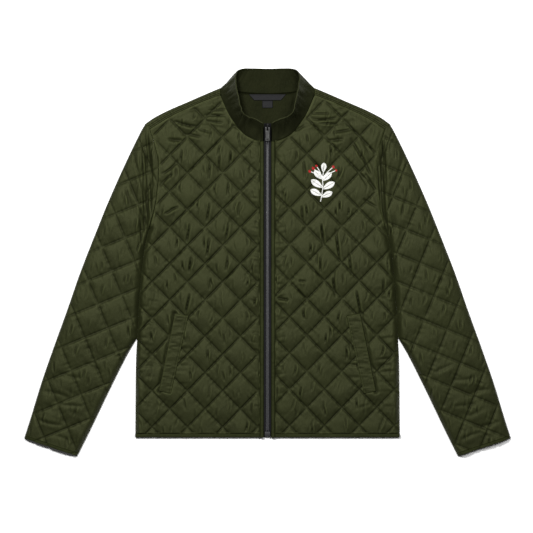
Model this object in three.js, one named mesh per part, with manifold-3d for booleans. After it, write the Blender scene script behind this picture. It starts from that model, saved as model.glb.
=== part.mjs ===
// A quilted, zip-front jacket with a stand collar, laid flat on its back. Millimetres, +Z up.
// +X is the wearer's left, +Y runs from the hem to the collar, and z = 0 is the surface it lies on.
import * as THREE from "three";
import { mergeVertices } from "three/addons/utils/BufferGeometryUtils.js";
import Module from "manifold-3d";

const wasm = await Module();
wasm.setup();

// Driving dimensions
const SEAM_GAP = 0.3;
const HEM_Y = -351;
const HEM_BINDING = 8;
const CUFF_BINDING = 6;
const PLACKET_INNER_X = 7.3;
const PLACKET_WIDTH = 7.7;
const SLEEVE_GAP = 0.45; // between a sleeve's edge and the body's edge beside it

// Heights of the layers
const BACK_THICKNESS = 4;
const AIR = 2; // the most that the fronts stand off the back
const FRONT_CLOTH = 2.9; // a front's wall along its quilting lines
const SLEEVE_BOTTOM_WALL = 3.5;
const SLEEVE_AIR = 3.2;
const SLEEVE_SEAM_Z = 9.7; // the sleeve's top face along its quilting lines
const PUFF = 3.3; // crown of a quilted diamond over its lines
const FAR_BELOW = -20;

// Outlines of one half, as seen from above; the other half is their mirror image
const NECK_SEAM = [
  { x: 7.3, y: 240.5 },
  { x: 28, y: 245 },
  { x: 48, y: 256.5 },
  { x: 63.5, y: 274.5 },
  { x: 76.5, y: 293.5 },
  { x: 85.5, y: 312.5 },
  { x: 92.5, y: 330 },
  { x: 96, y: 345 },
];
const BACK_NECK_SEAM = [
  { x: 0, y: 337 },
  { x: 35, y: 338 },
  { x: 65, y: 341.5 },
  { x: 88, y: 345.5 },
  { x: 96, y: 348 },
];
const SHOULDER_FOLD = [
  { x: 96, y: 348 },
  { x: 122, y: 337 },
  { x: 160, y: 320.5 },
  { x: 198, y: 304 },
  { x: 227, y: 289 },
  { x: 244, y: 277 },
];
const SHOULDER_SEAM = [
  { x: 95, y: 334 },
  { x: 135, y: 318.6 },
  { x: 165, y: 305 },
  { x: 195, y: 290.5 },
  { x: 235, y: 266 },
];
const ARMHOLE = [
  { x: 235, y: 266 },
  { x: 224, y: 231 },
  { x: 218, y: 200 },
  { x: 218, y: 166 },
  { x: 224.5, y: 114 },
  { x: 233, y: 82 },
  { x: 237, y: 66 },
];
const SIDE = [
  { x: 237, y: 66 },
  { x: 242.5, y: 46 },
  { x: 249, y: 10 },
  { x: 256, y: -58 },
  { x: 261, y: -152 },
  { x: 263.5, y: -210 },
  { x: 264.6, y: -351 },
];
const FORK_Y = -152; // where the sleeve leaves the body's side
const SLEEVE_OUTER = [
  { x: 244, y: 277 },
  { x: 253, y: 262 },
  { x: 267, y: 234 },
  { x: 287, y: 192 },
  { x: 319, y: 120 },
  { x: 348, y: 48 },
  { x: 376, y: -24 },
  { x: 401, y: -96 },
  { x: 427, y: -168 },
  { x: 452, y: -240 },
  { x: 474, y: -312 },
  { x: 487, y: -352.5 },
];
const SLEEVE_INNER = [
  { x: 261, y: -152 },
  { x: 284, y: -191 },
  { x: 320, y: -263 },
  { x: 355, y: -336 },
  { x: 381, y: -388 },
];
const WELT = [
  { x: 158, y: -107.5 },
  { x: 185.5, y: -103 },
  { x: 217, y: -258.5 },
  { x: 193, y: -263.5 },
];

// The collar's band, from the centre front round the side to the centre back: its foot and its top edge
const COLLAR_WALL = 2.6;
const COLLAR_CLEARANCE = 0.35;
const COLLAR_STATIONS = [
  { footX: 8.8, footY: 242.2, footZ: 7.6, topX: 8.8, topY: 276, topZ: 36 },
  { footX: 27.5, footY: 247, footZ: 7.6, topX: 24, topY: 284, topZ: 38 },
  { footX: 46.5, footY: 258.5, footZ: 7.4, topX: 39, topY: 288.5, topZ: 41 },
  { footX: 61.5, footY: 276, footZ: 7.2, topX: 50, topY: 297, topZ: 45 },
  { footX: 74.5, footY: 294.5, footZ: 7, topX: 54.5, topY: 313, topZ: 44 },
  { footX: 83.5, footY: 313, footZ: 6.8, topX: 57.8, topY: 330, topZ: 41 },
  { footX: 90.5, footY: 330.5, footZ: 6.4, topX: 61, topY: 350, topZ: 35 },
  { footX: 94, footY: 344, footZ: 5.4, topX: 63, topY: 369, topZ: 27 },
  { footX: 90, footY: 348, footZ: 3.2, topX: 58.5, topY: 382, topZ: 15 },
  { footX: 76, footY: 344.2, footZ: 1.8, topX: 47, topY: 387, topZ: 7 },
  { footX: 50, footY: 340.2, footZ: 1.6, topX: 31, topY: 387.8, topZ: 3 },
  { footX: 0, footY: 337.2, footZ: 1.6, topX: 0, topY: 387.2, topZ: 1.8 },
];

// Quilting: a crossing of the lines, and the two edges of one diamond from it
const FRONT_QUILT = {
  1: { x: 79, y: -74, edgeA: { x: 34.9, y: 36.2 }, edgeB: { x: -34.9, y: 36.2 } },
  "-1": { x: -125.2, y: -76.5, edgeA: { x: 35.3, y: 36.3 }, edgeB: { x: -35.3, y: 36.3 } },
};
const SLEEVE_QUILT = {
  1: { x: 332.2, y: -68.8, edgeA: { x: -19.5, y: -47.5 }, edgeB: { x: -46.5, y: 19 } },
  "-1": { x: -338.6, y: -84.4, edgeA: { x: 19.5, y: -47.5 }, edgeB: { x: 46.5, y: 19 } },
};
const QUILT_STEPS = [0, 0.14, 0.5, 0.86];

// Folds beside the armhole, on the sleeve's head: points along each fold, its depth and half-width there
const SLEEVE_HEAD_FOLDS = [
  { x: 240, y: 255, depth: 0.4, half: 3 },
  { x: 233, y: 225, depth: 3.6, half: 6 },
  { x: 230, y: 185, depth: 4.2, half: 7.5 },
  { x: 232, y: 140, depth: 3.4, half: 6.5 },
  { x: 240, y: 98, depth: 0.4, half: 3 },
];

// Zip
const TAPE_HALF_THICKNESS = 0.5;
const TAPE_INNER_X = 2.9;
const TAPE_OUTER_X = PLACKET_INNER_X - SEAM_GAP;
const CHAIN_HALF_WIDTH = 2.6;
const CHAIN_HALF_THICKNESS = 1.2;
const BOX_LENGTH = 10;
const BOX_HALF_WIDTH = 6;
const ZIP_PATH = [
  { y: HEM_Y + 2, z: 7.7 },
  { y: 0, z: 7.7 },
  { y: 229, z: 7.7 },
  { y: 238, z: 8.5 },
  { y: 244, z: 11.4 },
  { y: 275, z: 36.2 },
];
const SLIDER_LENGTH = 12;
const SLIDER_HALF_WIDTH = 4.6;
const SLIDER_FROM_TOP = 7.5; // from the tapes' top end to the slider's middle
const PLATE_Z = 1.5; // from the tapes' middle to a plate of the slider
const PLATE_THICKNESS = 1.2;
const BRIDGE = { halfWidth: 1.1, halfLength: 4.8, leg: 1.2, clear: 2.5, top: 1.2 };
const PULL = { length: 32, halfWidth: 4.2, waist: 3.6, thickness: 1.4, bar: 1.4 };
const PULL_WINDOW = { halfWidth: 1.8, length: 7 };
const PULL_SLOT = { halfWidth: 2.2, length: 2.3, fromEnd: 2 };
const PULL_LIFT = 1.25; // from the slider's top plate to the middle of the pull's bar

const NECK_LABEL = { halfTop: 38, halfBottom: 27, top: 336, height: 12.5, thickness: 0.6 };
const SIZE_LABEL = { half: 10.5, height: 15, thickness: 0.5 };

const materialOf = (name, color, roughness, metalness = 0) =>
  new THREE.MeshStandardMaterial({ name, color, roughness, metalness });
const SHELL = materialOf("olive nylon", 0x363a25, 0.55);
const BINDING = materialOf("olive binding", 0x3b4029, 0.6);
const TAPE = materialOf("black zip tape", 0x1c1c1e, 0.8);
const COIL = materialOf("grey zip coil", 0x4a4a4c, 0.5);
const METAL = materialOf("gunmetal", 0x5c5c5e, 0.4, 0.8);
const LABEL = materialOf("black label", 0x17171a, 0.7);

// A closed geometry as a solid that can be joined and cut.
function solidOf(geometry) {
  const bare = geometry.clone();
  bare.deleteAttribute("normal");
  bare.deleteAttribute("uv");
  const merged = mergeVertices(bare, 1e-4);
  return new wasm.Manifold(
    new wasm.Mesh({
      numProp: 3,
      vertProperties: new Float32Array(merged.attributes.position.array),
      triVerts: new Uint32Array(merged.index.array),
    }),
  );
}

function geometryOf(solid) {
  const { vertProperties, triVerts } = solid.getMesh();
  const geometry = new THREE.BufferGeometry();
  geometry.setAttribute("position", new THREE.BufferAttribute(new Float32Array(vertProperties), 3));
  geometry.setIndex(new THREE.BufferAttribute(new Uint32Array(triVerts), 1));
  return geometry;
}

function geometryFrom(points, faces) {
  const geometry = new THREE.BufferGeometry();
  geometry.setAttribute(
    "position",
    new THREE.Float32BufferAttribute(points.flatMap((p) => [p.x, p.y, p.z]), 3),
  );
  geometry.setIndex(faces.flat());
  return geometry;
}

// A smooth line through a table's points, on the +X side or, mirrored, on the -X side.
function line(table, side, steps, shiftX = 0) {
  const curve = new THREE.SplineCurve(
    table.map(({ x, y }) => new THREE.Vector2(side * (x + shiftX), y)),
  );
  return curve.getSpacedPoints(steps);
}

// The part of a line between two heights.
const between = (points, low, high) => points.filter(({ y }) => y > low && y < high);

// Joins stretches into one outline that runs counter-clockwise and repeats no point.
function outlineOf(...stretches) {
  const points = stretches.flat().filter((p, i, all) => i === 0 || p.distanceTo(all[i - 1]) > 0.05);
  if (points[0].distanceTo(points.at(-1)) < 0.05) points.pop();
  return THREE.ShapeUtils.isClockWise(points) ? points.reverse() : points;
}

// The outline moved inwards along the bisector at each of its corners.
function inset(outline, amount) {
  return outline.map((p, i) => {
    const before = outline.at(i - 1);
    const after = outline[(i + 1) % outline.length];
    const a = p.clone().sub(before).normalize();
    const b = after.clone().sub(p).normalize();
    const normalA = new THREE.Vector2(-a.y, a.x);
    const normalB = new THREE.Vector2(-b.y, b.x);
    const miter = normalA.clone().add(normalB).divideScalar(1 + normalA.dot(normalB));
    return p.clone().addScaledVector(miter, amount);
  });
}

// A plate whose edge is stepped or rounded: at each level's height the outline is inset by its amount.
function plate(outline, levels) {
  const count = outline.length;
  const rings = levels.map((level) => inset(outline, level.inset));
  const points = rings.flatMap((ring, k) =>
    ring.map((p) => new THREE.Vector3(p.x, p.y, levels[k].z)),
  );
  const faces = [];
  for (let k = 0; k < rings.length - 1; k++) {
    for (let i = 0; i < count; i++) {
      const next = (i + 1) % count;
      const [a, b] = [k * count + i, k * count + next];
      faces.push([a, b, b + count], [a, b + count, a + count]);
    }
  }
  const top = (rings.length - 1) * count;
  THREE.ShapeUtils.triangulateShape(rings[0], []).forEach(([a, b, c]) => faces.push([c, b, a]));
  THREE.ShapeUtils.triangulateShape(rings.at(-1), []).forEach(([a, b, c]) =>
    faces.push([top + a, top + b, top + c]),
  );
  return solidOf(geometryFrom(points, faces));
}

// A solid from far below up to a grid of points.
function gridSolid(rows) {
  const wide = rows[0].length;
  const points = rows.flat();
  const count = points.length;
  points.push(...rows.flat().map((p) => new THREE.Vector3(p.x, p.y, FAR_BELOW)));
  const at = (i, j) => i * wide + j;
  const faces = [];
  for (let i = 0; i < rows.length - 1; i++) {
    for (let j = 0; j < wide - 1; j++) {
      const corners = [at(i, j), at(i + 1, j), at(i + 1, j + 1), at(i, j + 1)];
      const leans = (i + j) % 2 === 0;
      const split = leans ? [[0, 1, 2], [0, 2, 3]] : [[0, 1, 3], [1, 2, 3]];
      for (const [a, b, c] of split) {
        faces.push([corners[a], corners[b], corners[c]]);
        faces.push([corners[c] + count, corners[b] + count, corners[a] + count]);
      }
    }
  }
  const rim = [];
  for (let i = 0; i < rows.length - 1; i++) rim.push(at(i, 0));
  for (let j = 0; j < wide - 1; j++) rim.push(at(rows.length - 1, j));
  for (let i = rows.length - 1; i > 0; i--) rim.push(at(i, wide - 1));
  for (let j = wide - 1; j > 0; j--) rim.push(at(0, j));
  rim.forEach((a, i) => {
    const b = rim[(i + 1) % rim.length];
    faces.push([a, b + count, b], [a, a + count, b + count]);
  });
  const made = solidOf(geometryFrom(points, faces));
  return made.volume() > 0
    ? made
    : solidOf(geometryFrom(points, faces.map(([a, b, c]) => [c, b, a])));
}

// The quilted face over a rectangle of the plan, with points on its lines: heightAt(x, y, puff) gives it.
function quiltedFace(quilt, box, heightAt) {
  const { edgeA, edgeB } = quilt;
  const det = edgeA.x * edgeB.y - edgeA.y * edgeB.x;
  const cornersIn = [box.min, { x: box.max.x, y: box.min.y }, box.max, { x: box.min.x, y: box.max.y }];
  const inQuilt = cornersIn.map(({ x, y }) => ({
    a: ((x - quilt.x) * edgeB.y - (y - quilt.y) * edgeB.x) / det,
    b: (edgeA.x * (y - quilt.y) - edgeA.y * (x - quilt.x)) / det,
  }));
  const range = (key) => {
    const values = inQuilt.map((p) => p[key]);
    const steps = [];
    for (let cell = Math.floor(Math.min(...values)); cell < Math.ceil(Math.max(...values)); cell++)
      steps.push(...QUILT_STEPS.map((step) => cell + step));
    return [...steps, steps.at(-1) + QUILT_STEPS[1]];
  };
  const swell = (t) => Math.sin(Math.PI * (t - Math.floor(t))) ** 0.7;
  const bRange = range("b");
  return gridSolid(
    range("a").map((a) =>
      bRange.map((b) => {
        const x = quilt.x + a * edgeA.x + b * edgeB.x;
        const y = quilt.y + a * edgeA.y + b * edgeB.y;
        return new THREE.Vector3(x, y, heightAt(x, y, PUFF * swell(a) * swell(b)));
      }),
    ),
  );
}

// How much of the air under the fronts is left at a point: all in the middle, none at the side seams.
function airShare(x, y) {
  const across = Math.min(1, Math.abs(x) / 262);
  const along = Math.min(1, Math.abs(y - 20) / 380);
  return (1 - across ** 4) * (1 - 0.6 * along ** 6);
}
const frontInside = (x, y) => BACK_THICKNESS + SEAM_GAP + AIR * airShare(x, y);

// Everything below the fronts' plain inside face.
function belowFronts(side) {
  const columns = [-5, 40, 90, 140, 190, 230, 275];
  const rowYs = [-370, -280, -160, 0, 160, 280, 400];
  return gridSolid(
    columns.map((x) => rowYs.map((y) => new THREE.Vector3(side * x, y, frontInside(x, y)))),
  );
}

// A closed ring of wall round the collar's band; grown makes the space that its neighbours keep clear.
function collarSolid(grown = 0) {
  const half = COLLAR_STATIONS.length - 1;
  const mirrored = COLLAR_STATIONS.slice(0, half).reverse();
  const all = [
    ...COLLAR_STATIONS,
    ...mirrored.map((s) => ({ ...s, footX: -s.footX, topX: -s.topX })),
  ];
  const curve = (x, y, z) =>
    new THREE.CatmullRomCurve3(all.map((s) => new THREE.Vector3(s[x], s[y], s[z])), false, "centripetal");
  const foot = curve("footX", "footY", "footZ");
  const top = curve("topX", "topY", "topZ");
  const steps = 4 * half;
  const across = 4;
  const bulge = 2.2; // how far the band bows out between its foot and its top edge
  const thickness = COLLAR_WALL / 2 + grown;
  const mid = [];
  for (let i = 0; i <= steps; i++) {
    const f = foot.getPoint(i / steps);
    const t = top.getPoint(i / steps);
    const up = t.clone().sub(f).normalize();
    f.addScaledVector(up, -grown);
    t.addScaledVector(up, grown);
    mid.push(Array.from({ length: across + 1 }, (_, j) => f.clone().lerp(t, j / across)));
  }
  const normalAt = (i, j) => {
    const along = mid[Math.min(i + 1, steps)][j].clone().sub(mid[Math.max(i - 1, 0)][j]);
    const up = mid[i][across].clone().sub(mid[i][0]);
    return along.cross(up).normalize().negate();
  };
  const outer = [];
  const inner = [];
  for (let i = 0; i <= steps; i++) {
    const atBack = Math.abs(i / steps - 0.5) < 0.2;
    for (let j = 0; j <= across; j++) {
      const normal = normalAt(i, j);
      const bow = atBack ? 0 : bulge * Math.sin((Math.PI * j) / across);
      const p = mid[i][j].clone().addScaledVector(normal, bow);
      if (i === 0) p.x -= grown;
      if (i === steps) p.x += grown;
      outer.push(p.clone().addScaledVector(normal, thickness));
      inner.push(p.clone().addScaledVector(normal, -thickness));
    }
  }
  const wide = across + 1;
  const count = outer.length;
  const faces = [];
  const quad = (a, b, c, d) => faces.push([a, b, c], [a, c, d]);
  for (let i = 0; i < steps; i++) {
    for (let j = 0; j < across; j++) {
      const a = i * wide + j;
      quad(a, a + 1, a + wide + 1, a + wide);
      quad(count + a, count + a + wide, count + a + wide + 1, count + a + 1);
    }
    const low = i * wide;
    const high = low + across;
    quad(low, low + wide, count + low + wide, count + low);
    quad(high, count + high, count + high + wide, high + wide);
  }
  for (let j = 0; j < across; j++) {
    const end = steps * wide + j;
    quad(j, count + j, count + j + 1, j + 1);
    quad(end, end + 1, count + end + 1, count + end);
  }
  const made = solidOf(geometryFrom([...outer, ...inner], faces));
  const facing = made.volume() > 0 ? made : solidOf(geometryFrom([...outer, ...inner], faces.map((f) => f.reverse())));
  const aboveFloor = plate(rectangle(-130, 220, 130, 400), [{ inset: 0, z: 0 - grown }, { inset: 0, z: 60 }]);
  return facing.intersect(aboveFloor);
}

function rectangle(lowX, lowY, highX, highY) {
  return [
    new THREE.Vector2(lowX, lowY),
    new THREE.Vector2(highX, lowY),
    new THREE.Vector2(highX, highY),
    new THREE.Vector2(lowX, highY),
  ];
}

// Flat strips between two distances from the middle, along a run of the zip's path.
function ribbon(path, lowX, highX, halfThickness) {
  const points = path.flatMap((p, i) => {
    const before = path[Math.max(i - 1, 0)];
    const after = path[Math.min(i + 1, path.length - 1)];
    const run = new THREE.Vector2(after.y - before.y, after.z - before.z).normalize();
    const low = { y: p.y + run.y * halfThickness, z: p.z - run.x * halfThickness };
    const high = { y: p.y - run.y * halfThickness, z: p.z + run.x * halfThickness };
    return [
      new THREE.Vector3(lowX, low.y, low.z),
      new THREE.Vector3(highX, low.y, low.z),
      new THREE.Vector3(highX, high.y, high.z),
      new THREE.Vector3(lowX, high.y, high.z),
    ];
  });
  const faces = [[0, 1, 2], [0, 2, 3]];
  for (let i = 0; i < path.length - 1; i++) {
    for (let k = 0; k < 4; k++) {
      const [a, b] = [4 * i + k, 4 * i + ((k + 1) % 4)];
      faces.push([a, b + 4, b], [a, a + 4, b + 4]);
    }
  }
  const end = 4 * (path.length - 1);
  faces.push([end, end + 2, end + 1], [end, end + 3, end + 2]);
  const made = solidOf(geometryFrom(points, faces));
  return made.volume() > 0 ? made : solidOf(geometryFrom(points, faces.map((f) => f.reverse())));
}

// Outlines of the panels on one side
const bodySide = (side) => between(line(SIDE, side, 16), HEM_Y - 1, 100);
const armhole = (side) => line(ARMHOLE, side, 9);

function frontOutline(side) {
  const innerX = side * (PLACKET_INNER_X + PLACKET_WIDTH + SEAM_GAP);
  const hem = HEM_Y + HEM_BINDING + SEAM_GAP;
  const sideEdge = bodySide(side).filter(({ y }) => y > hem);
  return outlineOf(
    [new THREE.Vector2(innerX, hem), new THREE.Vector2(innerX, 243)],
    line(NECK_SEAM, side, 12).filter(({ x, y }) => Math.abs(x) > Math.abs(innerX) + 1 && y < 329),
    line(SHOULDER_SEAM, side, 6).map((p) => new THREE.Vector2(p.x, p.y - SEAM_GAP)),
    armhole(side).slice(1),
    sideEdge.slice(1),
    [new THREE.Vector2(side * SIDE.at(-1).x, hem)],
  );
}

function backOutline() {
  const half = (side) => [
    ...line(BACK_NECK_SEAM, side, 5),
    ...line(SHOULDER_FOLD, side, 7).slice(1),
    ...armhole(side),
    ...bodySide(side).slice(1),
  ];
  const hem = HEM_Y + HEM_BINDING + SEAM_GAP;
  const cut = (points) => points.filter(({ y }) => y > hem);
  const corner = SIDE.at(-1).x;
  return outlineOf(
    cut(half(1)),
    [new THREE.Vector2(corner, hem), new THREE.Vector2(-corner, hem)],
    cut(half(-1)).reverse(),
  );
}

// The sleeve's plan: past a cut across the cuff when whole, or all the way and beyond both ends.
function sleeveOutline(side) {
  return outlineOf(
    line(SLEEVE_OUTER, side, 22),
    line(SLEEVE_INNER, side, 8).reverse(),
    between(line(SIDE, side, 16, SLEEVE_GAP), FORK_Y + 6, 64).reverse(),
    line(ARMHOLE, side, 9, SLEEVE_GAP).reverse(),
  );
}

function sleeveBeyondEnds(side) {
  const outer = line(SLEEVE_OUTER, side, 16);
  const inner = line(SLEEVE_INNER, side, 6).reverse();
  const beside = between(line(SIDE, side, 12, SLEEVE_GAP), FORK_Y + 20, 60).reverse();
  const down = new THREE.Vector2(side * 16, -44);
  return outlineOf(
    [new THREE.Vector2(side * 215, 330)],
    outer.slice(1),
    [outer.at(-1).clone().add(down), inner[0].clone().add(down)],
    inner,
    beside,
    [new THREE.Vector2(side * 232, 90), new THREE.Vector2(side * 150, 120), new THREE.Vector2(side * 150, 300)],
  );
}

// A strip across the cuff, from its edge up to a depth along the sleeve.
function cuffStrip(side, from, to) {
  const outer = new THREE.Vector2(side * SLEEVE_OUTER.at(-1).x, SLEEVE_OUTER.at(-1).y);
  const inner = new THREE.Vector2(side * SLEEVE_INNER.at(-1).x, SLEEVE_INNER.at(-1).y);
  const across = outer.clone().sub(inner).normalize();
  const up = new THREE.Vector2(-across.y, across.x).multiplyScalar(side);
  const at = (corner, overhang, depth) =>
    corner.clone().addScaledVector(across, overhang).addScaledVector(up, depth);
  return outlineOf([at(inner, -30, from), at(outer, 30, from), at(outer, 30, to), at(inner, -30, to)]);
}

// A trough with a rounded bed, cut down from above along the folds beside the armhole.
function headFold(side) {
  const bed = SLEEVE_SEAM_Z + PUFF;
  const sections = SLEEVE_HEAD_FOLDS.map((s) => {
    const floor = bed - 2.2 - s.depth;
    return [
      new THREE.Vector3(side * (s.x - s.half), s.y, bed + 0.5),
      new THREE.Vector3(side * (s.x - s.half / 2), s.y, floor + 1),
      new THREE.Vector3(side * s.x, s.y, floor),
      new THREE.Vector3(side * (s.x + s.half / 2), s.y, floor + 1),
      new THREE.Vector3(side * (s.x + s.half), s.y, bed + 0.5),
      new THREE.Vector3(side * s.x, s.y, bed + 6),
    ];
  });
  const wide = sections[0].length;
  const faces = [];
  for (let i = 0; i < sections.length - 1; i++) {
    for (let k = 0; k < wide; k++) {
      const [a, b] = [wide * i + k, wide * i + ((k + 1) % wide)];
      faces.push([a, b, b + wide], [a, b + wide, a + wide]);
    }
  }
  const end = wide * (sections.length - 1);
  for (let k = 1; k < wide - 1; k++) {
    faces.push([0, k + 1, k], [end, end + k, end + k + 1]);
  }
  const made = solidOf(geometryFrom(sections.flat(), faces));
  return made.volume() > 0
    ? made
    : solidOf(geometryFrom(sections.flat(), faces.map((f) => f.reverse())));
}

const node = (name, solid, material) => {
  const mesh = new THREE.Mesh(geometryOf(solid), material);
  mesh.name = name;
  return mesh;
};

const NAME_OF = { 1: "left", "-1": "right" };
const collarSpace = collarSolid(COLLAR_CLEARANCE);
const weltOutline = (side) =>
  outlineOf(WELT.map(({ x, y }) => new THREE.Vector2(side * x, y)));

function backNode() {
  const outline = backOutline();
  const panel = plate(outline, [
    { inset: 3, z: 0 },
    { inset: 0.8, z: 1.2 },
    { inset: 0, z: 2.6 },
    { inset: 0, z: BACK_THICKNESS },
  ]);
  const turned = [1, -1].map((side) => shoulderTurn(side));
  return turned.reduce((joined, turn) => joined.add(turn), panel).subtract(collarSpace);
}

// The back's cloth where it turns over the shoulder and runs down to the seam on the front.
function shoulderTurn(side) {
  const steps = 7;
  const folds = line(SHOULDER_FOLD, side, steps);
  const seams = line(SHOULDER_SEAM, side, steps);
  const section = [
    { d: 0.3, z: 2.4 },
    { d: 3.2, z: 3.2 },
    { d: 3.4, z: BACK_THICKNESS + SEAM_GAP },
    { d: 1, z: BACK_THICKNESS + SEAM_GAP, fromSeam: true },
    { d: 1, z: 8, fromSeam: true },
    { d: 3.5, z: 9.8, fromSeam: true },
    { d: 5, z: 10.4 },
    { d: 1.6, z: 8.4 },
    { d: 0, z: 5.4 },
  ];
  const rings = folds.map((fold, i) => {
    const inward = seams[i].clone().sub(fold);
    const width = inward.length();
    inward.normalize();
    return section.map(({ d, z, fromSeam }) => {
      const distance = fromSeam ? width - d + 0.85 : d;
      return new THREE.Vector3(fold.x + inward.x * distance, fold.y + inward.y * distance, z);
    });
  });
  const wide = section.length;
  const faces = [];
  for (let i = 0; i < steps; i++) {
    for (let k = 0; k < wide; k++) {
      const [a, b] = [wide * i + k, wide * i + ((k + 1) % wide)];
      faces.push([a, b, b + wide], [a, b + wide, a + wide]);
    }
  }
  const capFlat = section.map(({ d, z, fromSeam }) => new THREE.Vector2(fromSeam ? 14.8 - d : d, z));
  THREE.ShapeUtils.triangulateShape(capFlat, []).forEach(([a, b, c]) => {
    faces.push([a, c, b]);
    faces.push([a, b, c].map((k) => k + wide * steps));
  });
  const made = solidOf(geometryFrom(rings.flat(), faces));
  return made.volume() > 0
    ? made
    : solidOf(geometryFrom(rings.flat(), faces.map((f) => [...f].reverse())));
}

function frontNode(side) {
  const outline = frontOutline(side);
  const box = new THREE.Box2().setFromPoints(outline);
  const face = quiltedFace(FRONT_QUILT[side], box, (x, y, puff) => frontInside(x, y) + FRONT_CLOTH + puff);
  const rounded = plate(outline, [
    { inset: 0, z: 0 },
    { inset: 0, z: 8 },
    { inset: 3, z: 10.6 },
    { inset: 10, z: 13 },
  ]);
  const recess = plate(inset(weltOutline(side), -SEAM_GAP), [
    { inset: 0, z: WELT_BED - SEAM_GAP },
    { inset: 0, z: 20 },
  ]);
  return rounded.intersect(face).subtract(belowFronts(side)).subtract(recess).subtract(collarSpace);
}

const WELT_BED = 9.7;
function weltNode(side) {
  return plate(weltOutline(side), [
    { inset: 0, z: WELT_BED },
    { inset: 0, z: WELT_BED + 1.8 },
    { inset: 1, z: WELT_BED + 2.6 },
  ]);
}

function placketNode(side) {
  const [low, high] = [PLACKET_INNER_X, PLACKET_INNER_X + PLACKET_WIDTH].map((x) => side * x);
  const outline = outlineOf(rectangle(Math.min(low, high), HEM_Y, Math.max(low, high), 242));
  return plate(outline, [
    { inset: 0, z: 0 },
    { inset: 0, z: 8.6 },
    { inset: 1.4, z: 10 },
  ])
    .subtract(belowFronts(side))
    .subtract(collarSpace);
}

function frontHemNode(side) {
  const innerX = side * (PLACKET_INNER_X + PLACKET_WIDTH + SEAM_GAP);
  const outerX = side * SIDE.at(-1).x;
  const outline = outlineOf(
    rectangle(Math.min(innerX, outerX), HEM_Y, Math.max(innerX, outerX), HEM_Y + HEM_BINDING),
  );
  return plate(outline, [
    { inset: 0, z: 0 },
    { inset: 0, z: 7.2 },
    { inset: 1.4, z: 8.8 },
  ]).subtract(belowFronts(side));
}

function backHemNode() {
  const halfWidth = SIDE.at(-1).x;
  return plate(rectangle(-halfWidth, HEM_Y, halfWidth, HEM_Y + HEM_BINDING), [
    { inset: 1.4, z: 0 },
    { inset: 0, z: 1.6 },
    { inset: 0, z: BACK_THICKNESS },
  ]);
}

// A sleeve's tube with open ends: its rounded outside less its flat inside.
function sleeveTube(side) {
  const outline = sleeveBeyondEnds(side);
  const inside = SLEEVE_BOTTOM_WALL + SLEEVE_AIR;
  return plate(outline, [
    { inset: 5, z: 0 },
    { inset: 1.2, z: 1.8 },
    { inset: 0, z: 4.4 },
    { inset: 0.8, z: 6.2 },
    { inset: 4, z: 8.6 },
    { inset: 12, z: 11.4 },
    { inset: 26, z: 13.2 },
  ]).subtract(
    plate(inset(outline, -0.01), [
      { inset: 11, z: SLEEVE_BOTTOM_WALL },
      { inset: 5, z: 4.7 },
      { inset: 5, z: 5.3 },
      { inset: 15, z: inside },
    ]),
  );
}

function sleeveNodes(side) {
  const outline = sleeveOutline(side);
  const box = new THREE.Box2().setFromPoints(outline);
  const face = quiltedFace(SLEEVE_QUILT[side], box, (x, y, puff) => SLEEVE_SEAM_Z + puff);
  const edges = plate(outline, [
    { inset: 0, z: -1 },
    { inset: 0, z: 7.6 },
    { inset: 2.5, z: 10.2 },
    { inset: 6, z: 13.4 },
  ]);
  const ends = plate(outline, [
    { inset: 0, z: -1 },
    { inset: 0, z: 8.6 },
  ]);
  const tube = sleeveTube(side);
  const cuffSpace = plate(cuffStrip(side, -30, CUFF_BINDING + SEAM_GAP), [
    { inset: 0, z: -5 },
    { inset: 0, z: 30 },
  ]);
  const cuffBand = plate(cuffStrip(side, -0.5, CUFF_BINDING), [
    { inset: 0, z: -5 },
    { inset: 0, z: 30 },
  ]);
  const sleeve = tube.intersect(edges).intersect(face).subtract(cuffSpace).subtract(headFold(side));
  const cuff = tube.intersect(ends).intersect(cuffBand);
  return [
    node(`sleeve_${NAME_OF[side]}`, sleeve, SHELL),
    node(`cuff_binding_${NAME_OF[side]}`, cuff, BINDING),
  ];
}

// The zip's path, with its middle line running up the slope of the collar's front ends
const zipEnd = ZIP_PATH.at(-1);
const zipBend = ZIP_PATH.at(-2);
const zipSlope = Math.atan2(zipEnd.z - zipBend.z, zipEnd.y - zipBend.y);
const onSlope = (fromTop) => ({
  y: zipEnd.y - fromTop * Math.cos(zipSlope),
  z: zipEnd.z - fromTop * Math.sin(zipSlope),
});
const boxTop = ZIP_PATH[0].y + BOX_LENGTH;

function tapeNode(side) {
  const path = [{ y: boxTop + SEAM_GAP, z: ZIP_PATH[0].z }, ...ZIP_PATH.slice(1)];
  const [a, b] = [side * TAPE_INNER_X, side * TAPE_OUTER_X];
  return ribbon(path, Math.min(a, b), Math.max(a, b), TAPE_HALF_THICKNESS);
}

function chainNode() {
  const chainTop = onSlope(SLIDER_FROM_TOP + SLIDER_LENGTH / 2 + SEAM_GAP);
  const path = [{ y: boxTop + SEAM_GAP, z: ZIP_PATH[0].z }, ...ZIP_PATH.slice(1, -1), chainTop];
  return ribbon(path, -CHAIN_HALF_WIDTH, CHAIN_HALF_WIDTH, CHAIN_HALF_THICKNESS);
}

function boxNode() {
  const low = ZIP_PATH[0].y;
  return plate(rectangle(-BOX_HALF_WIDTH, low, BOX_HALF_WIDTH, boxTop), [
    { inset: 0.6, z: 6 },
    { inset: 0, z: 6.6 },
    { inset: 0, z: 8.8 },
    { inset: 0.8, z: 9.6 },
  ]);
}

const block = (width, length, height, x, y, z) => {
  const geometry = new THREE.BoxGeometry(width, length, height);
  geometry.translate(x, y, z);
  return solidOf(geometry);
};

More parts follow.
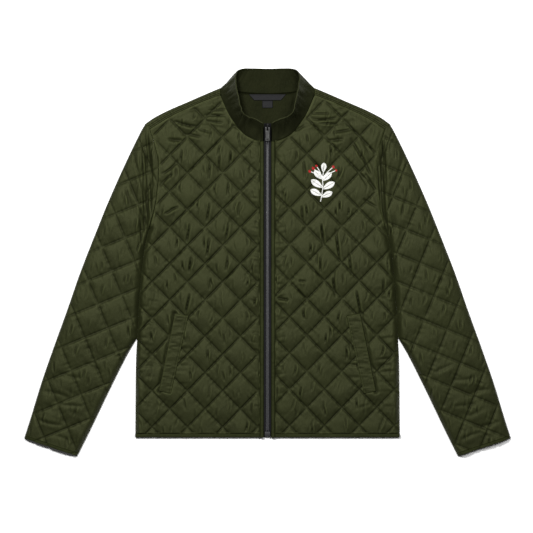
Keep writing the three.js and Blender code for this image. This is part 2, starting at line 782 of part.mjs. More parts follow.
// The slider in its own frame: +Y up the zip, z = 0 at the tapes' middle.
function sliderSolid() {
  const plateOutline = outlineOf([
    new THREE.Vector2(-SLIDER_HALF_WIDTH + 1, -SLIDER_LENGTH / 2),
    new THREE.Vector2(SLIDER_HALF_WIDTH - 1, -SLIDER_LENGTH / 2),
    new THREE.Vector2(SLIDER_HALF_WIDTH, 0),
    new THREE.Vector2(SLIDER_HALF_WIDTH, SLIDER_LENGTH / 2 - 2),
    new THREE.Vector2(1.5, SLIDER_LENGTH / 2),
    new THREE.Vector2(-1.5, SLIDER_LENGTH / 2),
    new THREE.Vector2(-SLIDER_HALF_WIDTH, SLIDER_LENGTH / 2 - 2),
    new THREE.Vector2(-SLIDER_HALF_WIDTH, 0),
  ]);
  const plateAt = (low) =>
    plate(plateOutline, [
      { inset: 0, z: low },
      { inset: 0, z: low + PLATE_THICKNESS },
    ]);
  const plateTop = PLATE_Z + PLATE_THICKNESS;
  const legHeight = BRIDGE.clear + BRIDGE.top;
  const legY = BRIDGE.halfLength - BRIDGE.leg / 2;
  const width = 2 * BRIDGE.halfWidth;
  const leg = (y) => block(width, BRIDGE.leg, legHeight + 0.4, 0, y, plateTop + legHeight / 2 - 0.2);
  const bridge = block(width, 2 * BRIDGE.halfLength, BRIDGE.top, 0, 0, plateTop + BRIDGE.clear + BRIDGE.top / 2);
  const core = block(2 * (TAPE_INNER_X - SEAM_GAP), SLIDER_LENGTH - 1, 2 * PLATE_Z + 0.4, 0, 0, 0);
  return [plateAt(-plateTop), core, leg(legY), leg(-legY), bridge].reduce(
    (joined, piece) => joined.add(piece),
    plateAt(PLATE_Z),
  );
}

// The pull tab in a frame whose X axis is the middle of its bar; it hangs towards -Y.
function pullSolid() {
  const { length, halfWidth, waist, thickness, bar } = PULL;
  const low = bar / 2 - length;
  const shape = new THREE.Shape();
  shape.moveTo(-halfWidth + 1, bar / 2);
  shape.lineTo(halfWidth - 1, bar / 2);
  shape.quadraticCurveTo(halfWidth, bar / 2, halfWidth, bar / 2 - 1);
  shape.lineTo(halfWidth, -9);
  shape.bezierCurveTo(waist, -14, waist, low + 10, halfWidth, low + 4);
  shape.lineTo(halfWidth, low + 1);
  shape.quadraticCurveTo(halfWidth, low, halfWidth - 1, low);
  shape.lineTo(-halfWidth + 1, low);
  shape.quadraticCurveTo(-halfWidth, low, -halfWidth, low + 1);
  shape.lineTo(-halfWidth, low + 4);
  shape.bezierCurveTo(-waist, low + 10, -waist, -14, -halfWidth, -9);
  shape.lineTo(-halfWidth, bar / 2 - 1);
  shape.quadraticCurveTo(-halfWidth, bar / 2, -halfWidth + 1, bar / 2);
  const window = new THREE.Path(
    rectangle(-PULL_WINDOW.halfWidth, -bar / 2 - PULL_WINDOW.length, PULL_WINDOW.halfWidth, -bar / 2),
  );
  const slotLow = low + PULL_SLOT.fromEnd;
  const slot = new THREE.Path(
    rectangle(-PULL_SLOT.halfWidth, slotLow, PULL_SLOT.halfWidth, slotLow + PULL_SLOT.length),
  );
  shape.holes.push(window, slot);
  const geometry = new THREE.ExtrudeGeometry(shape, { depth: thickness, bevelEnabled: false, curveSegments: 4 });
  geometry.translate(0, 0, -thickness / 2);
  return solidOf(geometry);
}

function labelNodes() {
  const { halfTop, halfBottom, top, height, thickness } = NECK_LABEL;
  const low = top - height;
  const z = BACK_THICKNESS + SEAM_GAP;
  const shape = outlineOf([
    new THREE.Vector2(-halfBottom, low),
    new THREE.Vector2(halfBottom, low),
    new THREE.Vector2(halfTop, top),
    new THREE.Vector2(-halfTop, top),
  ]);
  const neck = plate(shape, [
    { inset: 0, z },
    { inset: 0, z: z + thickness },
  ]).subtract(collarSpace);
  const sizeTop = low - SEAM_GAP;
  const size = plate(rectangle(-SIZE_LABEL.half, sizeTop - SIZE_LABEL.height, SIZE_LABEL.half, sizeTop), [
    { inset: 0, z },
    { inset: 0, z: z + SIZE_LABEL.thickness },
  ]);
  return [node("neck_label", neck, LABEL), node("size_label", size, LABEL)];
}

const jacket = new THREE.Group();
jacket.add(node("back", backNode(), SHELL));
jacket.add(node("hem_binding_back", backHemNode(), BINDING));
for (const side of [1, -1]) {
  const name = NAME_OF[side];
  jacket.add(node(`front_${name}`, frontNode(side), SHELL));
  jacket.add(node(`placket_${name}`, placketNode(side), BINDING));
  jacket.add(node(`hem_binding_${name}`, frontHemNode(side), BINDING));
  jacket.add(node(`pocket_welt_${name}`, weltNode(side), SHELL));
  jacket.add(...sleeveNodes(side));
  jacket.add(node(`zip_tape_${name}`, tapeNode(side), TAPE));
}
jacket.add(node("collar", collarSolid(), SHELL));
jacket.add(node("zip_chain", chainNode(), COIL));
jacket.add(node("zip_box", boxNode(), TAPE));
jacket.add(...labelNodes());

const slider = new THREE.Group();
const sliderAt = onSlope(SLIDER_FROM_TOP);
slider.position.set(0, sliderAt.y, sliderAt.z);
slider.rotation.x = zipSlope;
slider.add(node("zip_slider", sliderSolid(), METAL));
const pull = node("zip_pull", pullSolid(), METAL);
pull.position.z = PLATE_Z + PLATE_THICKNESS + PULL_LIFT;
slider.add(pull);
jacket.add(slider);

export default jacket;
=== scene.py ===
"""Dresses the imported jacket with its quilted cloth, bindings, sewing, zip, labels and chest embroidery."""

from __future__ import annotations

import logging
import math
from dataclasses import dataclass, field, replace
from enum import Enum
from typing import Any, Callable, Sequence

import bpy
import numpy as np
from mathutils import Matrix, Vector
from mathutils.geometry import tessellate_polygon

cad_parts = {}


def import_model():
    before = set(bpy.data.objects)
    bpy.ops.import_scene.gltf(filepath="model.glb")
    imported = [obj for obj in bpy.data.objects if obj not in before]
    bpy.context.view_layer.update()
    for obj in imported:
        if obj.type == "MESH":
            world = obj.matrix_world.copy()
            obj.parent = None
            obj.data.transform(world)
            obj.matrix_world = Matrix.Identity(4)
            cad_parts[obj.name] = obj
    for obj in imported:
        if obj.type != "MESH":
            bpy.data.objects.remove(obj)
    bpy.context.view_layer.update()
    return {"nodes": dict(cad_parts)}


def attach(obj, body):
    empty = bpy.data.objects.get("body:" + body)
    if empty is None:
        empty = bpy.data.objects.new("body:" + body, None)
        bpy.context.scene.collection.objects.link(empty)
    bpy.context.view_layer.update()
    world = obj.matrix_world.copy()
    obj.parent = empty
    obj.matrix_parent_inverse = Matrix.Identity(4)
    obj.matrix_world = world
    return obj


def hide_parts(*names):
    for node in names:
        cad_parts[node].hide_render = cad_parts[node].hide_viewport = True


LOG = logging.getLogger("jacket")
MM = 0.001
PHOTO_SIDE_MM = 1066.0
JACKET = "jacket"
PULL_TAB = "pull_tab"

Array = np.ndarray
Height = Callable[[Array, Array, Array], Array]
Surface = Callable[[Array, Array], Array]


class Side(Enum):
    """The wearer's left (+X) and right (-X)."""

    LEFT = 1
    RIGHT = -1

    @property
    def word(self) -> str:
        """The side's word in a node's name."""
        return self.name.lower()


# Lines on the plan


def curve_through(points: Array, steps: int) -> Array:
    """A dense smooth curve through points.

    Args:
        points: the points, one a row.
        steps: the number of steps from each point to the next.

    Returns:
        The curve's points.
    """
    last = len(points) - 1
    t = np.linspace(0, 1, steps, endpoint=False)[:, None]
    runs = []
    for i in range(last):
        before, start, end, after = (points[min(max(k, 0), last)] for k in (i - 1, i, i + 1, i + 2))
        leave, arrive = (end - before) / 2, (after - start) / 2
        cubic = (2 * start - 2 * end + leave + arrive) * t**3
        runs.append(cubic + (3 * end - 3 * start - 2 * leave - arrive) * t**2 + leave * t + start)
    return np.vstack([*runs, points[-1:]])


def smooth_line(
    table: Sequence[tuple[float, float]], spacing: float, side: int = 1, shift: float = 0.0
) -> Array:
    """A smooth line through a table's points, with evenly spaced points.

    Args:
        table: the points on the +X side, in millimetres.
        spacing: the distance between the new points.
        side: -1 mirrors the line to the other side.
        shift: how far the line is moved outwards along X.

    Returns:
        The points, one a row.
    """
    line = respaced(curve_through(np.array(table, float), 40), spacing)
    line[:, 0] = side * (line[:, 0] + shift)
    return line


def respaced(line: Array, spacing: float) -> Array:
    """The same line with evenly spaced points."""
    run = np.r_[0, np.cumsum(np.linalg.norm(np.diff(line, axis=0), axis=1))]
    count = max(2, int(round(run[-1] / spacing)) + 1)
    wanted = np.linspace(0, run[-1], count)
    return np.column_stack([np.interp(wanted, run, line[:, k]) for k in range(line.shape[1])])


def distance_to(line: Array, x: Array, y: Array, closed: bool = False) -> tuple[Array, Array, Array]:
    """How far points lie from a line on the plan.

    Args:
        line: the line's points.
        x: the points' x.
        y: the points' y.
        closed: whether the line joins its own start.

    Returns:
        The distance, the nearest point on the line, and the share of the line's length where that is.
    """
    ends = np.roll(line, -1, axis=0) if closed else line[1:]
    starts = line if closed else line[:-1]
    run = ends - starts
    squared = np.maximum((run**2).sum(1), 1e-9)
    lengths = np.sqrt(squared)
    before = np.r_[0, np.cumsum(lengths)]
    spots = np.column_stack([np.ravel(x), np.ravel(y)])
    gap, near, where = np.empty(len(spots)), np.empty((len(spots), 2)), np.empty(len(spots))
    for first in range(0, len(spots), 4096):
        part = spots[first : first + 4096]
        dx, dy = part[:, :1] - starts[:, 0], part[:, 1:] - starts[:, 1]
        t = np.clip((dx * run[:, 0] + dy * run[:, 1]) / squared, 0, 1)
        far = (dx - t * run[:, 0]) ** 2 + (dy - t * run[:, 1]) ** 2
        best = far.argmin(1)
        rows = np.arange(len(part))
        share = t[rows, best]
        gap[first : first + 4096] = np.sqrt(far[rows, best])
        near[first : first + 4096] = starts[best] + share[:, None] * run[best]
        where[first : first + 4096] = (before[best] + share * lengths[best]) / before[-1]
    return gap.reshape(x.shape), near.reshape(x.shape + (2,)), where.reshape(x.shape)


def is_inside(outline: Array, x: Array, y: Array) -> Array:
    """Whether points lie inside a closed outline."""
    odd = np.zeros(x.shape, bool)
    for (x0, y0), (x1, y1) in zip(outline, np.roll(outline, -1, axis=0)):
        if y0 == y1:
            continue
        crosses = (y0 > y) != (y1 > y)
        odd ^= crosses & (x < (x1 - x0) * (y - y0) / (y1 - y0) + x0)
    return odd


def joined(*stretches: Array) -> Array:
    """One outline of several stretches, without repeated points."""
    points = np.vstack(stretches)
    keep = np.r_[True, np.linalg.norm(np.diff(points, axis=0), axis=1) > 0.05]
    points = points[keep]
    return points[:-1] if np.linalg.norm(points[0] - points[-1]) < 0.05 else points


def rounded(distance: Array, radius: float) -> Array:
    """The rise of a quarter circle: none at an edge and full at its radius."""
    return np.sqrt(np.clip(1 - (1 - np.clip(distance / radius, 0, 1)) ** 2, 0, 1))


def eased(value: Array, low: float, high: float) -> Array:
    """A smooth step from 0 at low to 1 at high."""
    t = np.clip((value - low) / (high - low), 0, 1)
    return t * t * (3 - 2 * t)


def kept_above(value: Array, floor: Array | float) -> Array:
    """The value, levelling off softly just over a floor."""
    over = value - floor
    return floor + np.where(over < 1, np.exp(np.minimum(over, 1) - 1), over)


class Grain:
    """Smooth random unevenness that is the same on every run."""

    size = 256

    def __init__(self, seed: int) -> None:
        """Draws the table of values that is read between."""
        self.values = np.random.default_rng(seed).uniform(-1, 1, (self.size, self.size))

    def value(self, i: Array, j: Array) -> Array:
        """The table's value at whole numbers, repeated without end."""
        return self.values[i % self.size, j % self.size]

    def at(self, u: Array, v: Array) -> Array:
        """The value, about -1 to 1, with one hump for each unit of u and v."""
        iu, iv = np.floor(u).astype(int), np.floor(v).astype(int)
        fu, fv = u - iu, v - iv
        fu, fv = fu * fu * (3 - 2 * fu), fv * fv * (3 - 2 * fv)
        low = self.value(iu, iv) * (1 - fu) + self.value(iu + 1, iv) * fu
        high = self.value(iu, iv + 1) * (1 - fu) + self.value(iu + 1, iv + 1) * fu
        return low * (1 - fv) + high * fv


# The cloth's relief


@dataclass(frozen=True)
class Quilt:
    """Two families of parallel stitch lines that cross and make diamonds.

    Attributes:
        crossing: a point where two lines cross.
        edge_a: one edge of a diamond from there.
        edge_b: the other edge.
        steep_a: how steeply the cloth rises from the lines that run along edge_b; less is steeper.
        steep_b: the same for the lines that run along edge_a.
        puff: the crown of a diamond over its lines.
        groove_a: the depth of the sewn lines that run along edge_b.
        groove_b: the depth of the others.
        sag: less than 1 moves the crowns down.
        lean: the lean of the diamonds' own folds, in degrees from +Y.
    """

    crossing: tuple[float, float]
    edge_a: tuple[float, float]
    edge_b: tuple[float, float]
    steep_a: float = 0.62
    steep_b: float = 0.62
    puff: float = 3.3
    groove_a: float = 1.5
    groove_b: float = 1.5
    sag: float = 0.8
    lean: float = 4.0

    @property
    def det(self) -> float:
        """Twice the area of half a diamond."""
        return self.edge_a[0] * self.edge_b[1] - self.edge_a[1] * self.edge_b[0]

    def cell(self, x: Array, y: Array) -> tuple[Array, Array]:
        """Where points lie among the diamonds: whole numbers are stitch lines."""
        dx, dy = x - self.crossing[0], y - self.crossing[1]
        a = (dx * self.edge_b[1] - dy * self.edge_b[0]) / self.det
        b = (self.edge_a[0] * dy - self.edge_a[1] * dx) / self.det
        return a, b

    def line_gaps(self, x: Array, y: Array) -> tuple[Array, Array]:
        """The distance in millimetres to the nearest line of each family."""
        a, b = self.cell(x, y)
        pitch_a = abs(self.det) / math.hypot(*self.edge_b)
        pitch_b = abs(self.det) / math.hypot(*self.edge_a)
        return np.abs(a - np.round(a)) * pitch_a, np.abs(b - np.round(b)) * pitch_b

    def pillow(self, x: Array, y: Array) -> Array:
        """The swell of the diamonds, from 0 on the lines to 1 at a crown that sags a little."""
        a, b = self.cell(x, y)
        share_a, share_b = (a - np.floor(a)) ** self.sag, (b - np.floor(b)) ** self.sag
        return np.sin(np.pi * share_a) ** self.steep_a * np.sin(np.pi * share_b) ** self.steep_b

    def folds(self, x: Array, y: Array, grain: Grain) -> Array:
        """Three short upright folds in each diamond, no two alike."""
        a, b = self.cell(x, y)
        row, column = np.floor(a).astype(int), np.floor(b).astype(int)
        mid_a, mid_b = row + 0.5, column + 0.5
        middle_x = self.crossing[0] + mid_a * self.edge_a[0] + mid_b * self.edge_b[0]
        middle_y = self.crossing[1] + mid_a * self.edge_a[1] + mid_b * self.edge_b[1]
        total = np.zeros(x.shape)
        for k in range(3):
            pick = [grain.value(row * 7 + 31 * k + n, column * 13 + 5 * n) for n in range(5)]
            lean = np.radians(16 * pick[2] + self.lean)
            dx, dy = x - middle_x - 15 * pick[0], y - middle_y - 11 * pick[1]
            along = (dx * np.sin(lean) + dy * np.cos(lean)) / (9 + 5 * np.abs(pick[3]))
            across = dx * np.cos(lean) - dy * np.sin(lean) - 1.6 * pick[0] * (1 - along**2)
            fade = np.clip(1 - along**2, 0, 1)
            depth = 0.8 + 1.9 * np.clip(pick[4], 0, 1)
            ridge, trough = 0.5 * np.exp(-(((across - 3.6) / 2.4) ** 2)), np.exp(-((across / 1.7) ** 2))
            total += depth * fade * (ridge - trough)
        return total

    def gathers(self, x: Array, y: Array, grain: Grain, reach: float = 7.0) -> Array:
        """Small ridges that stand across the stitch lines and fade away from them."""
        a, b = self.cell(x, y)
        gap_a, gap_b = self.line_gaps(x, y)
        along_a, along_b = b * math.hypot(*self.edge_b), a * math.hypot(*self.edge_a)
        first = grain.at(along_a / 4.6, np.round(a) * 7.37 + gap_a / 26)
        second = grain.at(along_b / 4.6 + 90, np.round(b) * 5.11 + gap_b / 26)
        return first * np.exp(-gap_a / reach) + second * np.exp(-gap_b / reach)

    def relief(self, x: Array, y: Array, grain: Grain) -> Array:
        """The whole quilted face over its stitch lines."""
        gap_a, gap_b = self.line_gaps(x, y)
        a, b = self.cell(x, y)
        pull_a = 1.0 + 0.4 * grain.at(np.round(a) * 5.3 + 2, b * 0.9)
        pull_b = 1.0 + 0.4 * grain.at(np.round(b) * 5.3 + 70, a * 0.9)
        groove_a = self.groove_a * pull_a * np.exp(-((gap_a / 1.9) ** 2))
        groove_b = self.groove_b * pull_b * np.exp(-((gap_b / 1.9) ** 2))
        groove = np.maximum(groove_a, groove_b) + 0.15 * np.minimum(groove_a, groove_b)
        size = 1 + 0.22 * grain.at(x / 60 + 11, y / 60 + 5)
        swell = self.puff * size * self.pillow(x, y)
        return swell - groove + 0.95 * self.gathers(x, y, grain) + self.folds(x, y, grain)

    def runs(self, outline: Array, margin: float, pitch: float) -> list[Array]:
        """The stitch lines inside an outline.

        Args:
            outline: the panel's outline.
            margin: how far the lines stop from its edge.
            pitch: the distance between the points on a line.

        Returns:
            The runs of points, each at least a few stitches long.
        """
        a, b = self.cell(outline[:, 0], outline[:, 1])
        found = []
        families = ((a, b, self.edge_b, self.edge_a), (b, a, self.edge_a, self.edge_b))
        for values, others, along, step in families:
            count = math.hypot(*along) * (others.max() - others.min()) / pitch
            t = np.linspace(others.min(), others.max(), int(count))
            for line in range(math.ceil(values.min()), math.floor(values.max()) + 1):
                x = self.crossing[0] + line * step[0] + t * along[0]
                y = self.crossing[1] + line * step[1] + t * along[1]
                good = is_inside(outline, x, y)
                gap, _, _ = distance_to(outline, x, y, closed=True)
                good &= gap > margin
                cuts = np.flatnonzero(np.diff(np.r_[False, good, False].astype(int)))
                for start, end in zip(cuts[::2], cuts[1::2]):
                    if end - start > 4:
                        found.append(np.column_stack([x[start:end], y[start:end]]))
        return found


@dataclass(frozen=True)
class Crease:
    """One soft fold: a trough with a ridge beside it.

    Attributes:
        x: its middle.
        y: its middle.
        length: from end to end.
        lean: its direction in degrees from +Y towards +X.
        depth: the trough's depth, or with a minus sign the height of a ridge.
        width: the trough's half width.
        bend: how far its middle bows sideways.
    """

    x: float
    y: float
    length: float
    lean: float = 0.0
    depth: float = 1.0
    width: float = 2.4
    bend: float = 0.0

    def relief(self, x: Array, y: Array) -> Array:
        """The height that this fold adds."""
        c, s = math.cos(math.radians(self.lean)), math.sin(math.radians(self.lean))
        dx, dy = x - self.x, y - self.y
        along = (dx * s + dy * c) / (self.length / 2)
        across = dx * c - dy * s - self.bend * (1 - along**2)
        fade = np.clip(1 - along**2, 0, 1) ** 0.8
        trough = 2.6 * np.exp(-((across / (0.85 * self.width)) ** 2))
        ridge = 0.55 * np.exp(-(((across - 2.1 * self.width) / (1.3 * self.width)) ** 2))
        return self.depth * fade * (ridge - trough)


@dataclass(frozen=True)
class GatherZone:
    """A patch of fine wrinkles that run in one direction.

    Attributes:
        x: its middle.
        y: its middle.
        wide: its reach along X.
        tall: its reach along Y.
        lean: the wrinkles' direction in degrees from +Y towards +X.
        pitch: the distance from one wrinkle to the next.
        length: how long a wrinkle is.
        height: how high a wrinkle is.
    """

    x: float
    y: float
    wide: float
    tall: float
    lean: float = 90.0
    pitch: float = 6.0
    length: float = 34.0
    height: float = 0.8

    def relief(self, x: Array, y: Array, grain: Grain) -> Array:
        """The height that these wrinkles add."""
        c, s = math.cos(math.radians(self.lean)), math.sin(math.radians(self.lean))
        along, across = x * s + y * c, x * c - y * s
        wander = 5 * grain.at(along / 40 + 3, across / 40 + 8)
        waves = grain.at((across + wander) / self.pitch + 31, along / self.length + 17)
        fade = np.exp(-(((x - self.x) / self.wide) ** 2) - ((y - self.y) / self.tall) ** 2)
        return self.height * fade * (waves - 0.35 * np.abs(waves))


def mirrored_creases(creases: Sequence[Crease]) -> list[Crease]:
    """The same folds on the other side, a little uneven."""
    made = []
    for i, c in enumerate(creases):
        off = 3.0 * math.sin(2.3 * i + 1)
        made.append(replace(c, x=-c.x + off, y=c.y + 1.7 * off, lean=-c.lean + off, bend=-c.bend))
    return made


def mirrored_zones(zones: Sequence[GatherZone]) -> list[GatherZone]:
    """The same patches on the other side."""
    return [replace(z, x=-z.x, lean=-z.lean) for z in zones]


# Meshes


@dataclass
class Soup:
    """Vertices and faces gathered into one mesh."""

    points: list[Array] = field(default_factory=list)
    faces: list[tuple[int, ...]] = field(default_factory=list)
    count: int = 0

    def add(self, points: Array, faces: Sequence[Sequence[int]]) -> None:
        """Adds a closed piece, given in millimetres."""
        start = self.count
        self.points.append(np.asarray(points, float))
        self.faces.extend(tuple(int(i) + start for i in face) for face in faces)
        self.count += len(points)

    def add_rings(self, grid: Array) -> None:
        """Adds a closed body of rings of points, as (ring, point of the ring, coordinate)."""
        points, faces = lattice_body(grid)
        self.add(points, outward(points, faces))

    def made(self, name: str, material: bpy.types.Material, smooth: bool = True) -> bpy.types.Object:
        """The object with these faces and this material, in metres."""
        mesh = bpy.data.meshes.new(name)
        mesh.from_pydata((np.vstack(self.points) * MM).tolist(), [], self.faces)
        mesh.polygons.foreach_set("use_smooth", [smooth] * len(mesh.polygons))
        mesh.materials.append(material)
        mesh.update()
        made = bpy.data.objects.new(name, mesh)
        bpy.context.scene.collection.objects.link(made)
        return made


def heightfield(outline: Array, step: float, top: Height, bottom: Height, plain_below: bool = False) -> Soup:
    """A closed shell over an outline, whose top and bottom meet in one edge all round.

    Args:
        outline: the plan's outline.
        step: the size of a quad.
        top: the upper face's height at (x, y, distance from the edge).
        bottom: the lower face's height, equal to the upper one's at the edge.
        plain_below: gives the rim a wall and closes the underside with a plain face from edge to edge.

    Returns:
        The mesh.
    """
    low, high = outline.min(0) - step, outline.max(0) + step
    nx, ny = (int(v) + 2 for v in (high - low) / step)
    gx, gy = np.meshgrid(low[0] + step * np.arange(nx), low[1] + step * np.arange(ny), indexing="ij")
    cx, cy = gx[:-1, :-1] + step / 2, gy[:-1, :-1] + step / 2
    kept = is_inside(outline, cx, cy)
    edge_gap, _, _ = distance_to(outline, cx, cy, closed=True)
    kept &= edge_gap > 0.3 * step
    for _ in range(4):
        a, b, c, d = kept[:-1, :-1], kept[1:, :-1], kept[:-1, 1:], kept[1:, 1:]
        kept[:-1, :-1] &= ~(a & d & ~b & ~c)
        kept[1:, :-1] &= ~(b & c & ~a & ~d)
    padded = np.pad(kept, 1)
    around = np.stack([padded[:-1, :-1], padded[1:, :-1], padded[:-1, 1:], padded[1:, 1:]]).sum(0)
    used, rim = around > 0, (around > 0) & (around < 4)
    x, y = gx.copy(), gy.copy()
    _, near, _ = distance_to(outline, gx[rim], gy[rim], closed=True)
    x[rim], y[rim] = near[:, 0], near[:, 1]
    beside = near_rim(rim)
    for grid in (x, y):
        for _ in range(3):
            mean = (grid[:-2, 1:-1] + grid[2:, 1:-1] + grid[1:-1, :-2] + grid[1:-1, 2:]) / 4
            inner = (used & ~rim & beside)[1:-1, 1:-1]
            grid[1:-1, 1:-1] = np.where(inner, mean, grid[1:-1, 1:-1])
    px, py = x[used], y[used]
    gap, _, _ = distance_to(outline, px, py, closed=True)
    on_rim = rim[used]
    gap[on_rim] = 0
    upper = np.full(used.shape, -1)
    upper[used] = np.arange(used.sum())
    cells = np.argwhere(kept)
    i, j = cells[:, 0], cells[:, 1]
    quads = np.stack([upper[i, j], upper[i + 1, j], upper[i + 1, j + 1], upper[i, j + 1]], 1)
    soup = Soup()
    top_points = np.column_stack([px, py, top(px, py, gap)])
    if plain_below:
        loop = rim_loop(quads)
        edge_x, edge_y, ring = px[loop], py[loop], len(px) + np.arange(len(loop))
        edge_z = np.minimum(top_points[loop, 2] - 0.25, bottom(edge_x, edge_y, 0 * edge_x))
        under = tessellate_polygon([[Vector((x, y, 0)) for x, y in zip(edge_x, edge_y)]])
        turned = [f if plan_area(edge_x, edge_y, f) < 0 else f[::-1] for f in under]
        faces = [tuple(q) for q in quads.tolist()] + [tuple(ring[k] for k in f) for f in turned]
        for k in range(len(loop)):
            n = (k + 1) % len(loop)
            faces.append((loop[n], loop[k], ring[k], ring[n]))
        soup.add(np.vstack([top_points, np.column_stack([edge_x, edge_y, edge_z])]), faces)
        return soup
    lower = np.arange(len(px))
    lower[~on_rim] = len(px) + np.arange((~on_rim).sum())
    below = np.column_stack([px, py, bottom(px, py, gap)])[~on_rim]
    soup.add(np.vstack([top_points, below]), quads.tolist() + lower[quads][:, ::-1].tolist())
    return soup


def near_rim(rim: Array) -> Array:
    """The grid points within two steps of the rim."""
    wide = np.pad(rim, 2)
    rows, columns = rim.shape
    found = np.zeros_like(rim)
    for di in range(5):
        for dj in range(5):
            found |= wide[di : di + rows, dj : dj + columns]
    return found


def rim_loop(quads: Array) -> list[int]:
    """The points round the edge of a sheet of quads, in order."""
    following: dict[int, int] = {}
    edges = {(int(q[k]), int(q[(k + 1) % 4])) for q in quads for k in range(4)}
    for a, b in edges:
        if (b, a) not in edges:
            following[a] = b
    start = next(iter(following))
    loop = [start]
    while following[loop[-1]] != start:
        loop.append(following[loop[-1]])
    return loop


def plan_area(x: Array, y: Array, face: Sequence[int]) -> float:
    """Twice a triangle's area on the plan, with its sign."""
    a, b, c = face
    return (x[b] - x[a]) * (y[c] - y[a]) - (x[c] - x[a]) * (y[b] - y[a])


def band_faces(first: int, second: int, around: int) -> list[tuple[int, ...]]:
    """The quads between two rings of points, from the number of each ring's first point."""
    return [(first + k, first + n, second + n, second + k) for k, n in enumerate([*range(1, around), 0])]


def lattice_body(grid: Array) -> tuple[Array, list[tuple[int, ...]]]:
    """A body of rings of points, closed at both ends.

    Args:
        grid: the rings, as (ring, point of the ring, coordinate); every ring closes on itself.

    Returns:
        The points and the faces.
    """
    rings, around = grid.shape[:2]
    last = (rings - 1) * around
    faces = [face for first in range(0, last, around) for face in band_faces(first, first + around, around)]
    faces += [tuple(range(around))[::-1], tuple(range(last, last + around))]
    return grid.reshape(-1, 3), faces


def outward(points: Array, faces: list[tuple[int, ...]]) -> list[tuple[int, ...]]:
    """The same faces, turned so that a closed body encloses a positive volume."""
    volume = 0.0
    for face in faces:
        a = points[face[0]]
        for k in range(1, len(face) - 1):
            volume += float(a @ np.cross(points[face[k]], points[face[k + 1]]))
    return faces if volume > 0 else [face[::-1] for face in faces]


def swept(path: Array, section: Array, ups: Array) -> Soup:
    """A rounded bar along a path.

    Args:
        path: the points of its middle line.
        section: the section's outline as (sideways, up), counter-clockwise.
        ups: the up direction at each point.

    Returns:
        The mesh.
    """
    run = np.gradient(path, axis=0)
    run /= np.linalg.norm(run, axis=1)[:, None]
    across = np.cross(run, ups)
    across /= np.linalg.norm(across, axis=1)[:, None]
    up = np.cross(across, run)
    sideways, upwards = section[None, :, :1], section[None, :, 1:]
    soup = Soup()
    soup.add_rings(path[:, None, :] + sideways * across[:, None, :] + upwards * up[:, None, :])
    return soup


def rounded_section(width: float, height: float, radius: float, steps: int = 2) -> Array:
    """A rounded rectangle as (sideways, up) points, counter-clockwise."""
    w, h = width / 2 - radius, height / 2 - radius
    points = []
    for corner, (cx, cy) in enumerate(((w, h), (-w, h), (-w, -h), (w, -h))):
        for k in range(steps + 1):
            angle = math.pi / 2 * (corner + k / steps)
            points.append((cx + radius * math.cos(angle), cy + radius * math.sin(angle)))
    return np.array(points)


# Shader nodes


class Num:
    """A shader value on which Python arithmetic adds Math nodes."""

    def __init__(self, book: NodeBook, socket: bpy.types.NodeSocket) -> None:
        """Wraps an output socket."""
        self.book, self.socket = book, socket

    def _with(self, operation: str, *others: Num | float) -> Num:
        """The result of a Math node on this value and others."""
        inputs = dict(enumerate((self, *others)))
        return Num(self.book, self.book.add("ShaderNodeMath", {"operation": operation}, inputs).outputs[0])

    def _after(self, operation: str, other: float) -> Num:
        """The result of a Math node whose first number is the other one."""
        inputs = {0: other, 1: self}
        return Num(self.book, self.book.add("ShaderNodeMath", {"operation": operation}, inputs).outputs[0])

    def __add__(self, other: Num | float) -> Num:
        """This plus other."""
        return self._with("ADD", other)

    __radd__ = __add__

    def __sub__(self, other: Num | float) -> Num:
        """This less other."""
        return self._with("SUBTRACT", other)

    def __rsub__(self, other: float) -> Num:
        """Other less this."""
        return self._after("SUBTRACT", other)

    def __mul__(self, other: Num | float) -> Num:
        """This times other."""
        return self._with("MULTIPLY", other)

    __rmul__ = __mul__

    def sine(self) -> Num:
        """The sine, of radians."""
        return self._with("SINE")

    def eased(self, low: float, high: float) -> Num:
        """A smooth step from 0 at low to 1 at high."""
        inputs = {"Value": self, "From Min": low, "From Max": high}
        node = self.book.add("ShaderNodeMapRange", {"interpolation_type": "SMOOTHSTEP"}, inputs)
        return Num(self.book, node.outputs[0])


